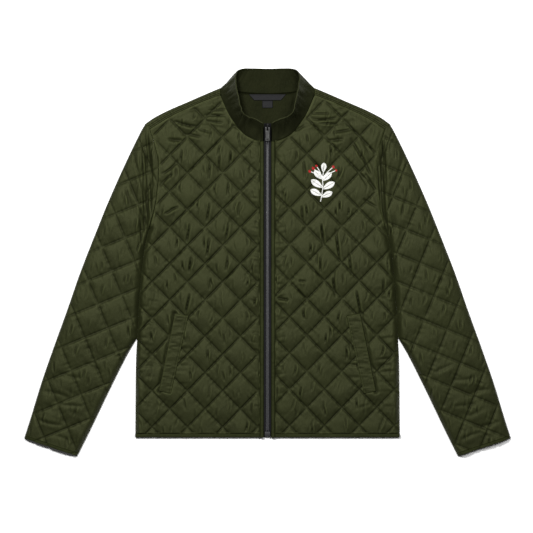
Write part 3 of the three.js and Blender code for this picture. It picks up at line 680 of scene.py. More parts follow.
class NodeBook:
    """The nodes of one material."""

    def __init__(self, name: str) -> None:
        """Starts a material with a Principled shader and nothing else."""
        self.material = bpy.data.materials.new(name)
        self.material.use_nodes = True
        self.tree = self.material.node_tree
        self.shader = self.tree.nodes["Principled BSDF"]

    def add(
        self, kind: str, settings: dict[str, Any] | None = None, inputs: dict[Any, Any] | None = None
    ) -> Any:
        """Adds a node.

        Args:
            kind: the node's type.
            settings: its properties, which are set first.
            inputs: the values or links of its sockets, by name or number.

        Returns:
            The node.
        """
        node = self.tree.nodes.new(kind)
        for key, value in (settings or {}).items():
            setattr(node, key, value)
        for key, value in (inputs or {}).items():
            self.feed(node.inputs[key], value)
        return node

    def feed(self, socket: bpy.types.NodeSocket, value: Any) -> None:
        """Links a socket to a value of this book, or sets it."""
        if isinstance(value, Num):
            value = value.socket
        if isinstance(value, bpy.types.NodeSocket):
            self.tree.links.new(value, socket)
        elif socket.type == "RGBA" and len(value) == 3:
            socket.default_value = (*value, 1)
        else:
            socket.default_value = value

    def place(self, scale: tuple[float, float, float] = (1, 1, 1)) -> bpy.types.NodeSocket:
        """The place on the object in millimetres, stretched by a scale."""
        coordinates = self.add("ShaderNodeTexCoord").outputs["Object"]
        settings = {"operation": "MULTIPLY"}
        factor = tuple(1000 * s for s in scale)
        return self.add("ShaderNodeVectorMath", settings, {0: coordinates, 1: factor}).outputs[0]

    def axes(self) -> tuple[Num, Num, Num]:
        """The place on the object as three numbers, in millimetres."""
        split = self.add("ShaderNodeSeparateXYZ", None, {0: self.place()})
        return Num(self, split.outputs[0]), Num(self, split.outputs[1]), Num(self, split.outputs[2])

    def noise(self, size: float, detail: float = 2.0, stretch: tuple[float, float, float] = (1, 1, 1)) -> Num:
        """Noise of about 0 to 1 whose humps are size millimetres across."""
        inputs = {"Vector": self.place(tuple(s / size for s in stretch)), "Scale": 1.0, "Detail": detail}
        return Num(self, self.add("ShaderNodeTexNoise", None, inputs).outputs[0])

    def bend(self) -> Num:
        """How the surface bends: 0.5 where it is flat, less in a hollow and more on a ridge."""
        return Num(self, self.add("ShaderNodeNewGeometry").outputs["Pointiness"])

    def mix(self, factor: Num | float, first: Any, second: Any) -> bpy.types.NodeSocket:
        """A mix of two colours."""
        inputs = {0: factor, 6: first, 7: second}
        return self.add("ShaderNodeMix", {"data_type": "RGBA", "clamp_factor": True}, inputs).outputs[2]

    def bump(self, height: Num, depth_mm: float, under: Any = None) -> bpy.types.NodeSocket:
        """The normal of a relief whose height of 1 stands for depth_mm."""
        inputs: dict[Any, Any] = {"Height": height, "Distance": depth_mm * MM, "Strength": 1.0}
        if under is not None:
            inputs["Normal"] = under
        return self.add("ShaderNodeBump", None, inputs).outputs[0]

    def finish(self, surface: dict[str, Any]) -> bpy.types.Material:
        """Feeds the shader's sockets and gives the material."""
        for key, value in surface.items():
            self.feed(self.shader.inputs[key], value)
        return self.material


def linear(red: int, green: int, blue: int) -> tuple[float, float, float]:
    """A screen colour of 0 to 255 as the linear colour that a shader takes."""
    shares = (v / 255 for v in (red, green, blue))
    return tuple(v / 12.92 if v <= 0.04045 else ((v + 0.055) / 1.055) ** 2.4 for v in shares)


@dataclass(frozen=True)
class ClothFinish:
    """A woven cloth.

    Attributes:
        name: the material's name.
        slot: the record's slot; not used.
        light: its lighter tone: random tone, with a small share of painted light on the weave's crests; lightened
            further it is the painted highlight on ridges.
        deep: its darker tone: random tone, with a small share of painted shade in the weave's dips; darkened further it
            is the painted shade in creases.
        weave_mm: the pitch of the weave.
        weave_depth: the relief of the weave, in millimetres.
        crinkle: the relief of fine wrinkles, in millimetres.
        roughness: how dull it is.
        sheen: the strength of its soft sheen.
        twill: whether the weave runs in slanting ribs.
        gleam: the tint of its highlights.
        specular: the strength of its highlights.
        painted_shade_and_highlight: how strongly painted shade darkens its creases and painted highlight lightens its
            ridges.
    """

    name: str
    slot: str
    light: tuple[float, float, float]
    deep: tuple[float, float, float]
    weave_mm: float = 0.5
    weave_depth: float = 0.02
    crinkle: float = 0.25
    roughness: float = 0.5
    sheen: float = 0.25
    twill: bool = False
    gleam: tuple[float, float, float] = (0.84, 0.9, 0.45)
    specular: float = 0.2
    painted_shade_and_highlight: float = 0.0

    def material(self) -> bpy.types.Material:
        """Builds the material."""
        book = NodeBook(self.name)
        x, y, z = book.axes()
        turn = 2 * math.pi / self.weave_mm
        if self.twill:
            weave = ((x + y + z) * turn).sine() * 0.5 + 0.5
        else:
            weave = (x * turn).sine() * ((y + z) * turn).sine() * 0.5 + 0.5
        patches = book.noise(38.0, 3.0)
        specks = book.noise(2.2, 3.0)
        wrinkles = book.noise(9.0, 4.0, (1.6, 0.7, 1.0))
        # Random tone from patches and specks, with a fifth that follows the weave: painted light on its crests and
        # painted shade in its dips.
        shade = patches * 0.5 + specks * 0.3 + weave * 0.2
        colour = book.mix(shade.eased(0.25, 0.75), self.deep, self.light)
        # Painted shade and painted highlight: where the mesh bends into a crease, the sunk mask darkens the colour
        # towards a quarter of the deep tone. Over a ridge, the colour lightens towards 1.7 times the light tone.
        if self.painted_shade_and_highlight:
            bend = book.bend()
            sunk = bend.eased(0.5, 0.44) * self.painted_shade_and_highlight
            painted_ridge_highlight = bend.eased(0.5, 0.56) * self.painted_shade_and_highlight
            colour = book.mix(sunk, colour, tuple(0.25 * c for c in self.deep))
            colour = book.mix(painted_ridge_highlight, colour, tuple(1.7 * c for c in self.light))
        rough = self.roughness + (patches - 0.5) * 0.12 + (specks - 0.5) * 0.1
        relief = book.bump(weave, self.weave_depth, book.bump(wrinkles, self.crinkle))
        book.shader.inputs["Sheen Weight"].default_value = self.sheen
        book.shader.inputs["Sheen Roughness"].default_value = 0.35
        book.shader.inputs["Sheen Tint"].default_value = (*self.gleam, 1)
        book.shader.inputs["Specular Tint"].default_value = (*self.gleam, 1)
        book.shader.inputs["Specular IOR Level"].default_value = self.specular
        return book.finish({"Base Color": colour, "Roughness": rough, "Normal": relief})


@dataclass(frozen=True)
class ThreadFinish:
    """Sewing or embroidery thread.

    Attributes:
        name: the material's name.
        slot: the record's slot; not used.
        colour: its colour.
        shade: its darker colour, painted shade between the plies, mixed with random tone.
        roughness: how dull it is.
        specular: the strength of its highlights.
    """

    name: str
    slot: str
    colour: tuple[float, float, float]
    shade: tuple[float, float, float]
    roughness: float = 0.5
    specular: float = 0.25

    def material(self) -> bpy.types.Material:
        """Builds the material."""
        book = NodeBook(self.name)
        x, y, z = book.axes()
        plies = ((x * 0.8 + y + z) * (2 * math.pi / 0.35)).sine() * 0.5 + 0.5
        tone = book.noise(3.0, 2.0)
        # The colour darkens between the plies as painted shade, mixed with random tone.
        colour = book.mix((plies * 0.6 + tone * 0.4).eased(0.1, 0.8), self.shade, self.colour)
        relief = book.bump(plies, 0.03)
        rough = self.roughness + (tone - 0.5) * 0.15
        book.shader.inputs["Specular IOR Level"].default_value = self.specular
        return book.finish({"Base Color": colour, "Roughness": rough, "Normal": relief})


@dataclass(frozen=True)
class MouldedFinish:
    """Moulded plastic or plated metal.

    Attributes:
        name: the material's name.
        slot: the record's slot; not used.
        colour: its colour.
        worn: its colour where it is rubbed.
        metallic: whether it is metal.
        roughness: how dull it is.
        grain_mm: the size of its fine unevenness.
    """

    name: str
    slot: str
    colour: tuple[float, float, float]
    worn: tuple[float, float, float]
    metallic: float = 0.0
    roughness: float = 0.4
    grain_mm: float = 0.6

    def material(self) -> bpy.types.Material:
        """Builds the material."""
        book = NodeBook(self.name)
        rub = book.noise(4.0, 4.0).eased(0.45, 0.75)
        grain = book.noise(self.grain_mm, 3.0)
        colour = book.mix(rub, self.colour, self.worn)
        rough = self.roughness + (grain - 0.5) * 0.2 - rub * 0.06
        book.shader.inputs["Metallic"].default_value = self.metallic
        return book.finish({"Base Color": colour, "Roughness": rough, "Normal": book.bump(grain, 0.02)})


Finish = ClothFinish | ThreadFinish | MouldedFinish

# The shell nylon and the plain collar nylon paint shade into their creases and highlight onto their ridges.
SHELL = ClothFinish(
    "olive_nylon", "shell_fabric", linear(34, 37, 19), linear(25, 27, 13),
    crinkle=0.9, roughness=0.58, sheen=0.03, painted_shade_and_highlight=0.8,
)
# The collar's nylon: the shell's cloth coloured darker, a painted shade for the standing collar, with painted crease
# shade and ridge highlight.
PLAIN_PAINTED_SHADE = ClothFinish(
    "olive_nylon_plain_painted_shade", "shell_fabric", linear(25, 27, 14), linear(19, 21, 10),
    crinkle=0.8, roughness=0.56, sheen=0.02, painted_shade_and_highlight=0.6,
)
# The inside nylon: the shell's cloth coloured much darker, a painted shade for the recess inside the neck.
INSIDE_PAINTED_SHADE = ClothFinish(
    "olive_nylon_inside_painted_shade", "shell_fabric", linear(26, 28, 14), linear(12, 14, 6),
    crinkle=1.8, roughness=0.6, sheen=0.0, specular=0.05,
)
BINDING = ClothFinish(
    "olive_binding", "binding", linear(41, 45, 24), linear(27, 30, 14),
    weave_mm=0.7, weave_depth=0.04, crinkle=0.3, roughness=0.62, sheen=0.0, specular=0.08,
)
TAPE = ClothFinish(
    "black_zip_tape", "zip_tape", linear(24, 24, 26), linear(15, 15, 16),
    weave_mm=0.9, weave_depth=0.08, crinkle=0.02, roughness=0.8, sheen=0.0, twill=True,
    gleam=(1, 1, 1), specular=0.1,
)
LABEL = ClothFinish(
    "black_satin_label", "label", linear(22, 22, 24), linear(14, 14, 15),
    weave_mm=0.6, weave_depth=0.03, crinkle=0.03, roughness=0.6, sheen=0.0,
    gleam=(1, 1, 1), specular=0.12,
)
SEWING = ThreadFinish("olive_thread", "shell_fabric", linear(48, 51, 29), linear(32, 34, 18), 0.6, 0.15)
WHITE_THREAD = ThreadFinish(
    "white_embroidery", "shell_fabric", linear(238, 238, 234), linear(176, 177, 172), 0.45
)
RED_THREAD = ThreadFinish("red_embroidery", "shell_fabric", linear(178, 34, 34), linear(110, 16, 18), 0.45)
COIL = MouldedFinish("grey_zip_coil", "zip_coil", linear(50, 50, 52), linear(70, 70, 73), 0.0, 0.42)
METAL = MouldedFinish("gunmetal", "zip_metal", linear(98, 98, 97), linear(128, 128, 126), 0.35, 0.4)
ENAMEL = MouldedFinish("black_slider", "zip_metal", linear(12, 12, 13), linear(22, 22, 23), 0.1, 0.4)
HOUSING = MouldedFinish("black_zip_stop", "zip_tape", linear(13, 13, 14), linear(22, 22, 23), 0.0, 0.5)


class Wardrobe:
    """The finished materials, each made once."""

    def __init__(self) -> None:
        """Starts with none made."""
        self.made: dict[str, bpy.types.Material] = {}

    def of(self, finish: Finish) -> bpy.types.Material:
        """A finish's material."""
        if finish.name not in self.made:
            self.made[finish.name] = finish.material()
        return self.made[finish.name]


@dataclass
class Workshop:
    """What every piece needs while it is made, and where it hands in what it made.

    Attributes:
        wardrobe: the materials.
        nodes: the solids' objects, by node.
        count: the triangles made so far.
    """

    wardrobe: Wardrobe
    nodes: dict[str, bpy.types.Object]
    count: int = 0

    def hand_in(self, soup: Soup, name: str, finish: Finish) -> bpy.types.Object:
        """Makes an object of a mesh, with its finish's material, that rides on the jacket.

        Args:
            soup: the mesh.
            name: the object's name.
            finish: its finish.

        Returns:
            The object.
        """
        made = soup.made(name, self.wardrobe.of(finish))
        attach(made, JACKET)
        triangles = sum(len(face) - 2 for face in soup.faces)
        self.count += triangles
        LOG.info("%s: %d triangles", name, triangles)
        return made


# The pattern: the outlines of one half, repeated from the solids

NECK_SEAM = (
    (7.3, 240.5), (28, 245), (48, 256.5), (63.5, 274.5), (76.5, 293.5), (85.5, 312.5), (92.5, 330), (96, 345),
)
BACK_NECK_SEAM = ((0, 337), (35, 338), (65, 341.5), (88, 345.5), (96, 348))
SHOULDER_FOLD = ((96, 348), (122, 337), (160, 320.5), (198, 304), (227, 289), (244, 277))
SHOULDER_SEAM = ((95, 334), (135, 318.6), (165, 305), (195, 290.5), (235, 266))
ARMHOLE = ((235, 266), (224, 231), (218, 200), (218, 166), (224.5, 114), (233, 82), (237, 66))
SIDE_SEAM = ((237, 66), (242.5, 46), (249, 10), (256, -58), (261, -152), (263.5, -210), (264.6, -351))
SLEEVE_OUTER = (
    (244, 277), (253, 262), (267, 234), (287, 192), (319, 120), (348, 48), (376, -24), (401, -96),
    (427, -168), (452, -240), (474, -312), (487, -352.5),
)
SLEEVE_INNER = ((261, -152), (284, -191), (320, -263), (355, -336), (381, -388))
WELT = ((158, -107.5), (185.5, -103), (217, -258.5), (193, -263.5))
HEM_Y = -351.0
HEM_BINDING = 8.0
CUFF_BINDING = 6.0
SEAM = 0.3
PLACKET_INNER = 7.3
PLACKET_WIDTH = 7.7
FRONT_EDGE = PLACKET_INNER + PLACKET_WIDTH + SEAM
BACK_THICKNESS = 4.0


def front_inside(x: Array, y: Array) -> Array:
    """The height of the fronts' plain inner face over the back."""
    across = np.minimum(1, np.abs(x) / 262)
    along = np.minimum(1, np.abs(y - 20) / 380)
    return BACK_THICKNESS + SEAM + 2.0 * (1 - across**4) * (1 - 0.6 * along**6)


def level(height: float) -> Surface:
    """A surface of one height."""
    return lambda x, y: np.full(x.shape, height)


def stitch_rows(
    soup: Soup, run: Array, surface: Surface, length: float = 2.3, width: float = 0.5, lift: float = 0.1
) -> None:
    """Adds one thread stitch at each point of a run.

    Args:
        soup: the mesh that takes the stitches.
        run: the stitches' middles on the plan.
        surface: the cloth's height at (x, y).
        length: a stitch's length.
        width: a stitch's width.
        lift: how far a stitch stands out of the cloth.
    """
    direction = np.gradient(run, axis=0)
    direction /= np.maximum(np.linalg.norm(direction, axis=1)[:, None], 1e-9)
    side = np.column_stack([-direction[:, 1], direction[:, 0]])
    half = length / 2
    shape = np.array([
        (-half, 0.0, -0.25), (-0.6 * half, -0.5, 0.2), (-0.6 * half, 0.5, 0.2),
        (0.6 * half, -0.5, 0.2), (0.6 * half, 0.5, 0.2), (half, 0.0, -0.25), (0.0, 0.0, 0.55),
    ])
    faces = ((0, 1, 2), (1, 0, 5, 3), (0, 2, 4, 5), (1, 3, 6), (3, 4, 6), (4, 2, 6), (2, 1, 6), (4, 3, 5))
    ends = run[:, None, :] + np.array([-half, 0.0, half])[None, :, None] * direction[:, None, :]
    base = surface(ends[:, :, 0].ravel(), ends[:, :, 1].ravel()).reshape(len(run), 3)
    for centre, along, across, heights in zip(run, direction, side, base):
        spots = centre + np.outer(shape[:, 0], along) + np.outer(shape[:, 1] * width, across)
        rise = shape[:, 2] * width + lift + np.interp(shape[:, 0], [-half, 0, half], heights)
        soup.add(np.column_stack([spots, rise]), faces)


@dataclass
class FrontPanel:
    """One quilted front.

    Attributes:
        side: which front it is.
        quilt: its stitch lines.
        creases: its folds.
        zones: its patches of wrinkles.
        step: the size of a quad.
        seed: of its unevenness.
    """

    side: Side
    quilt: Quilt
    creases: Sequence[Crease]
    zones: Sequence[GatherZone]
    step: float = 1.55
    seed: int = 1

    def __post_init__(self) -> None:
        """Settles the outline and the lines that its relief follows."""
        s = self.side.value
        self.grain = Grain(self.seed)
        hem = HEM_Y + HEM_BINDING + SEAM
        neck = smooth_line(NECK_SEAM, 3, s)
        neck = neck[(np.abs(neck[:, 0]) > FRONT_EDGE + 1) & (neck[:, 1] < 330)]
        shoulder = smooth_line(SHOULDER_SEAM, 3, s) - [0, SEAM]
        armhole = smooth_line(ARMHOLE, 3, s)
        flank = smooth_line(SIDE_SEAM, 3, s)
        flank = flank[flank[:, 1] > hem]
        start = np.array([[s * FRONT_EDGE, hem], [s * FRONT_EDGE, 243]])
        end = np.array([[s * SIDE_SEAM[-1][0], hem]])
        self.outline = joined(start, neck, shoulder, armhole[1:], flank[1:], end)
        self.flank = smooth_line(SIDE_SEAM, 4, s)
        self.seams = joined(neck, shoulder, armhole[1:])
        self.welt = np.array([(s * x, y) for x, y in WELT])

    def face(self, x: Array, y: Array) -> Array:
        """The upper face's height away from the edges."""
        seam, _, _ = distance_to(self.seams, x, y)
        z = front_inside(x, y) + 2.9 + self.quilt.relief(x, y, self.grain) * (0.25 + 0.75 * eased(seam, 0, 13.0))
        z = z + 0.7 * self.grain.at(x / 75, y / 55) + 0.6 * self.grain.at(x / 14 + 40, y / 22 + 9)
        for crease in self.creases:
            z = z + crease.relief(x, y)
        for zone in self.zones:
            z = z + zone.relief(x, y, self.grain)
        z = z + 1.1 * np.exp(-(((seam - 3.2) / 1.8) ** 2))
        z = z - 2.6 * np.exp(-np.maximum(np.abs(x) - FRONT_EDGE, 0) / 3.6)
        return self.around_welt(x, y, kept_above(z, front_inside(x, y) + 0.6))

    def around_welt(self, x: Array, y: Array, z: Array) -> Array:
        """Sinks the cloth under the welt and opens the pocket's mouth along its outer edge."""
        gap, _, _ = distance_to(self.welt, x, y, closed=True)
        within = is_inside(self.welt, x, y)
        signed = np.where(within, -gap, gap)
        level = np.minimum(z, 9.2)
        z = level + (z - level) * eased(signed, -2.0, 0.6)
        mouth, _, _ = distance_to(self.welt[1:3], x, y)
        return kept_above(z - 4.6 * np.exp(-((mouth / 4.4) ** 2)), front_inside(x, y) + 0.5)

    def top(self, x: Array, y: Array, gap: Array) -> Array:
        """The upper face's height at points of the plan."""
        flank, _, _ = distance_to(self.flank, x, y)
        edge = 2.8 + (front_inside(x, y) + 1.2) * eased(flank, 2.0, 16.0)
        rise = np.minimum(rounded(gap, 0.9), 1 - (1 - np.clip(flank / 12.0, 0, 1)) ** 2.3)
        shoulder = 2.6 * np.exp(-(((flank - 14) / 12) ** 2))
        return edge + (self.face(x, y) + shoulder - edge) * np.where(gap <= 0, 0, rise)

    def surface(self, x: Array, y: Array) -> Array:
        """The upper face's height, with its distance from the edge worked out."""
        gap, _, _ = distance_to(self.outline, x, y, closed=True)
        return self.top(x, y, gap)

    def build(self, shop: Workshop) -> bpy.types.Object:
        """Makes the panel and its quilting stitches."""
        word = self.side.word
        lining = lambda x, y, gap: front_inside(x, y) + 0.2
        shell = heightfield(self.outline, self.step, self.top, lining, plain_below=True)
        panel = shop.hand_in(shell, f"front_{word}_cloth", SHELL)
        panel.data.set_sharp_from_angle(angle=math.radians(70))
        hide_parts(f"front_{word}")
        sewing = Soup()
        for run in self.quilt.runs(self.outline, 4.0, 3.3):
            clear = distance_to(self.welt, run[:, 0], run[:, 1], closed=True)[0] > 3
            clear &= ~is_inside(self.welt, run[:, 0], run[:, 1])
            if clear.sum() > 4:
                stitch_rows(sewing, run[clear], self.surface)
        shop.hand_in(sewing, f"front_{word}_quilting_thread", SEWING)
        return panel


@dataclass
class BackPanel:
    """The quilted back, which turns over the shoulders to the seams on the fronts.

    Attributes:
        quilt: its stitch lines.
        step: the size of a quad.
        seed: of its unevenness.
    """

    quilt: Quilt
    step: float = 4.5
    seed: int = 5

    def __post_init__(self) -> None:
        """Settles the outline."""
        self.grain = Grain(self.seed)
        halves = []
        hem = HEM_Y + HEM_BINDING + SEAM
        for s in (1, -1):
            neck = smooth_line(BACK_NECK_SEAM, 4, s) + [0, 0.9]
            parts = [neck, smooth_line(SHOULDER_FOLD, 4, s)[1:], smooth_line(ARMHOLE, 4, s)]
            half = joined(*parts, smooth_line(SIDE_SEAM, 4, s)[1:])
            halves.append(half[half[:, 1] > hem])
        corner = SIDE_SEAM[-1][0]
        ends = np.array([[corner, hem], [-corner, hem]])
        self.outline = joined(halves[0], ends, halves[1][::-1])[::-1]

    def under(self, x: Array, y: Array) -> Array:
        """The underside's height: flat on its crowns, with the quilting sunk into it."""
        gap_a, gap_b = self.quilt.line_gaps(x, y)
        sunk = 1.5 * np.exp(-gap_a / 3.2) + 1.5 * np.exp(-gap_b / 3.2)
        gathers = 0.35 * np.abs(self.quilt.gathers(x, y, self.grain, 8))
        return np.minimum(sunk, 1.9) + gathers

    def top(self, x: Array, y: Array, gap: Array) -> Array:
        """The inner face's height."""
        gap_a, gap_b = self.quilt.line_gaps(x, y)
        groove = 0.35 * np.exp(-((gap_a / 1.6) ** 2)) + 0.35 * np.exp(-((gap_b / 1.6) ** 2))
        face = BACK_THICKNESS - 0.1 - groove - 0.15 * np.abs(self.grain.at(x / 18, y / 24))
        return 2.2 + (face - 2.2) * rounded(gap, 2.5)

    def bottom(self, x: Array, y: Array, gap: Array) -> Array:
        """The underside's height."""
        return 2.2 + (self.under(x, y) - 2.2) * rounded(gap, 4.5)

    def shoulder(self, side: Side, soup: Soup) -> None:
        """Adds the cloth that turns over one shoulder."""
        s = side.value
        fold = smooth_line(SHOULDER_FOLD, 1, s)
        seam = smooth_line(SHOULDER_SEAM, 1, s)
        count = 110
        fold, seam = (respaced(line, np.linalg.norm(np.diff(line, axis=0), axis=1).sum() / count) for line in (fold, seam))
        count = min(len(fold), len(seam))
        fold, seam = fold[:count], seam[:count]
        for line in (fold, seam):
            line[0] += 1.3 * (line[0] - line[1]) / np.linalg.norm(line[0] - line[1])
        across = seam - fold
        width = np.linalg.norm(across, axis=1)
        across /= width[:, None]
        arc = np.linspace(0, 1, 34)
        rings = []
        for i in range(count):
            w = width[i] + 0.1
            bend = np.interp(arc, [0, 0.3, 1], [0, 0.16, 1])
            d = 0.15 + bend * (w - 0.3)
            swell = np.sin(np.pi * np.clip((d - 1) / (w - 1), 0, 1)) ** 0.6
            wave = self.grain.at(np.full(len(d), i / 2.4), d / 9 + s * 5) * swell
            rows = sum(np.exp(-(((w - d - inset) / 0.75) ** 2)) for inset in (3.2, 7.2))
            z = 5.2 + 3.4 * rounded(d, 4.0) + 2.1 * swell + 0.8 * wave - 0.9 * rows
            z[0] = 4.6
            z[-1] -= 0.5
            low_d = np.array([w - 0.4, w - 1.2, 3.4, 3.0, 0.7, 0.1])
            low_z = np.array([6.0, 4.5, 4.4, 2.6, 2.2, 3.2])
            d, z = np.r_[d, low_d], np.r_[z, low_z]
            rings.append(np.column_stack([fold[i, 0] + across[i, 0] * d, fold[i, 1] + across[i, 1] * d, z]))
        soup.add_rings(np.array(rings))
        self.shoulder_lines = getattr(self, "shoulder_lines", {})
        self.shoulder_lines[side] = (fold, seam, across, width)

    def build(self, shop: Workshop) -> bpy.types.Object:
        """Makes the panel, its turned shoulders and their sewing."""
        soup = heightfield(self.outline, self.step, self.top, self.bottom)
        for side in Side:
            self.shoulder(side, soup)
        panel = shop.hand_in(soup, "back_cloth", SHELL)
        # The back's upward faces low down, its inside seen through the neck, take the much darker inside nylon: painted
        # shade for that recess.
        panel.data.materials.append(shop.wardrobe.of(INSIDE_PAINTED_SHADE))
        for face in panel.data.polygons:
            face.material_index = int(face.normal.z > 0.3 and face.center.z < 4.4 * MM)
        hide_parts("back")
        sewing = Soup()
        for run in self.quilt.runs(self.outline, 5.0, 5.0):
            stitch_rows(sewing, run, lambda x, y: self.under(x, y) - 0.45, 3.0, 0.6)
        shop.hand_in(sewing, "back_quilting_thread", SEWING)
        rows = Soup()
        for fold, seam, across, width in self.shoulder_lines.values():
            for inset in (3.2, 7.2):
                run = respaced(seam - across * inset, 3.0)[1:-1]
                stitch_rows(rows, run, level(10.0), 2.1, 0.5)
        shop.hand_in(rows, "shoulder_seam_thread", SEWING)
        return panel


@dataclass
class Sleeve:
    """One sleeve: a flattened quilted tube with a bound cuff.

    Attributes:
        side: which sleeve it is.
        quilt: its stitch lines.
        creases: its folds.
        zones: its patches of wrinkles.
        columns: the number of quads from edge to edge.
        step: the length of a quad along the sleeve.
        seed: of its unevenness.
        head_fold: the valley beside the armhole, as (x, y, depth, half width).
    """

    side: Side
    quilt: Quilt
    creases: Sequence[Crease]
    zones: Sequence[GatherZone]
    columns: int = 82
    step: float = 2.1
    seed: int = 2
    head_fold: Sequence[tuple[float, float, float, float]] = ()

    def __post_init__(self) -> None:
        """Settles both edges, from the cuff to the shoulder."""
        s = self.side.value
        self.grain = Grain(self.seed)
        flank = smooth_line(SIDE_SEAM, 2, s, 0.15)
        flank = flank[(flank[:, 1] > -150) & (flank[:, 1] < 66)]
        armhole = smooth_line(ARMHOLE, 2, s, 0.1)
        lower = smooth_line(SLEEVE_INNER, 2, s)
        self.inner = respaced(joined(lower[::-1], flank[::-1], armhole[::-1], np.array([[s * 244, 277]])), 1)
        self.outer = respaced(smooth_line(SLEEVE_OUTER, 2, s)[::-1], 1)
        self.armhole, self.fold_in = armhole, joined(lower[::-1], flank[::-1])
        self.head = smooth_line([(x, y) for x, y, _, _ in self.head_fold], 3, s)
        self.outline = joined(self.outer, self.inner[::-1])
        self.cuff = np.array([self.inner[0], self.outer[0]])

    def face(self, x: Array, y: Array) -> Array:
        """The upper face's height away from the edges."""
        armhole, _, _ = distance_to(self.armhole[::2], x, y)
        z = 9.7 + self.quilt.relief(x, y, self.grain) * (0.2 + 0.8 * eased(armhole, 0, 14))
        z = z + 0.8 * self.grain.at(x / 80 + 7, y / 60) + 0.5 * self.grain.at(x / 15, y / 20 + 3) + 2.4
        for crease in self.creases:
            z = z + crease.relief(x, y)
        for zone in self.zones:
            z = z + zone.relief(x, y, self.grain)
        gap, _, where = distance_to(self.head, x, y)
        stations = np.linspace(0, 1, len(self.head_fold))
        depth = np.interp(where, stations, [row[2] for row in self.head_fold])
        half = np.interp(where, stations, [row[3] for row in self.head_fold])
        valley = np.clip(1 - gap / half, 0, 1) ** 1.15
        ridge = np.exp(-(((gap - 1.5 * half) / (0.5 * half)) ** 2))
        pleats = 3.4 * np.clip(depth / 5, 0, 1) * self.grain.at(x / 2.9 + 0.02 * y, y / 60) * np.exp(-((gap / half) ** 2))
        return kept_above(z - depth * valley + 0.2 * depth * ridge + pleats, 4.4)

    def edges(self, x: Array, y: Array) -> tuple[Array, Array, Array]:
        """The distances to the outer fold, to the inner fold and to the armhole."""
        outer, _, _ = distance_to(self.outer[::6], x, y)
        inner, _, _ = distance_to(self.fold_in[::4], x, y)
        seam, _, _ = distance_to(self.armhole[::2], x, y)
        return outer, inner, seam

    def edge_height(self, y: Array) -> Array:
        """The height of the inner edge: it climbs to the body's own height along the armhole."""
        return 3.4 + 6.4 * eased(y, 66, 100) * (1 - eased(y, 258, 277))

    def top(self, x: Array, y: Array) -> Array:
        """The upper face's height."""
        outer, inner, seam = self.edges(x, y)
        low = 3.4 + (self.edge_height(y) - 3.4) * np.exp(-seam / 7)
        fold = 0.3 * rounded(outer, 6.0) + 0.7 * rounded(outer, 30.0) ** 1.3
        fold = np.minimum(fold, 1 - (1 - np.clip(inner / 13, 0, 1)) ** 2.3)
        return low + (self.face(x, y) - low) * fold * rounded(seam, 1.2)

    def under(self, x: Array, y: Array) -> Array:
        """The underside's height."""
        outer, inner, seam = self.edges(x, y)
        gap_a, gap_b = self.quilt.line_gaps(x, y)
        sunk = np.minimum(1.3 * np.exp(-gap_a / 3.2) + 1.3 * np.exp(-gap_b / 3.2), 1.7)
        sunk = sunk + 0.3 * np.abs(self.quilt.gathers(x, y, self.grain, 8))
        edge = np.minimum(np.minimum(outer, inner), seam)
        low = 3.4 + (self.edge_height(y) - 3.4) * np.exp(-seam / 7)
        return low + (sunk - low) * rounded(edge, 5.5)

    def stations(self, start: float, end: float | None, step: float) -> tuple[Array, Array]:
        """The ends of lines across the sleeve, from a distance up the sleeve to another."""
        count = int(700 / step)
        inner = respaced(self.inner, np.linalg.norm(np.diff(self.inner, axis=0), axis=1).sum() / count)
        outer = respaced(self.outer, np.linalg.norm(np.diff(self.outer, axis=0), axis=1).sum() / count)
        count = min(len(inner), len(outer))
        inner, outer = inner[:count], outer[:count]
        low = start / 700
        high = 1.0 if end is None else end / 700
        at = np.linspace(low, high, max(3, int((high - low) * 700 / step)))
        where = np.linspace(0, 1, count)
        lines = [np.column_stack([np.interp(at, where, line[:, k]) for k in (0, 1)]) for line in (inner, outer)]
        return lines[0], lines[1]

    def rings(self, inner: Array, outer: Array, grow: Array, hollow: bool = False) -> Array:
        """Rings of points round the sleeve, each over the top and back along the underside.

        Args:
            inner: the rings' ends on the inner edge.
            outer: their ends on the outer edge.
            grow: how much thicker each ring is than the sleeve.
            hollow: makes the rings of the hollow inside instead.

        Returns:
            The points, as (ring, point of the ring, coordinate).
        """
        u = np.linspace(0, 1, self.columns + 1)
        t = np.tile(0.45 * u + 0.55 * (0.5 - 0.5 * np.cos(np.pi * u)), (len(inner), 1))
        width = np.linalg.norm(outer - inner, axis=1)[:, None]
        if hollow:
            pad = np.minimum(7.0, 0.35 * width) / width
            t = pad + (1 - 2 * pad) * t
        spots = inner[:, None, :] + t[:, :, None] * (outer - inner)[:, None, :]
        x, y = spots[:, :, 0], spots[:, :, 1]
        if hollow:
            open_up = rounded(np.minimum(t - pad, 1 - pad - t) * width, 9.0)
            top = np.minimum(5.0 + 1.6 * open_up, self.top(x, y) - 1.2)
            under = np.minimum(5.0 - 1.3 * open_up, top - 0.4)
        else:
            top = self.top(x, y) + grow[:, None]
            under = np.maximum(self.under(x, y) - grow[:, None], 0.0)
            top[:, 0] = under[:, 0] = self.edge_height(y[:, 0])
            top[:, -1] = under[:, -1] = 3.4
        over, back = np.stack([x, y, top], -1), np.stack([x, y, under], -1)[:, -2:0:-1]
        return np.concatenate([over, back], axis=1)

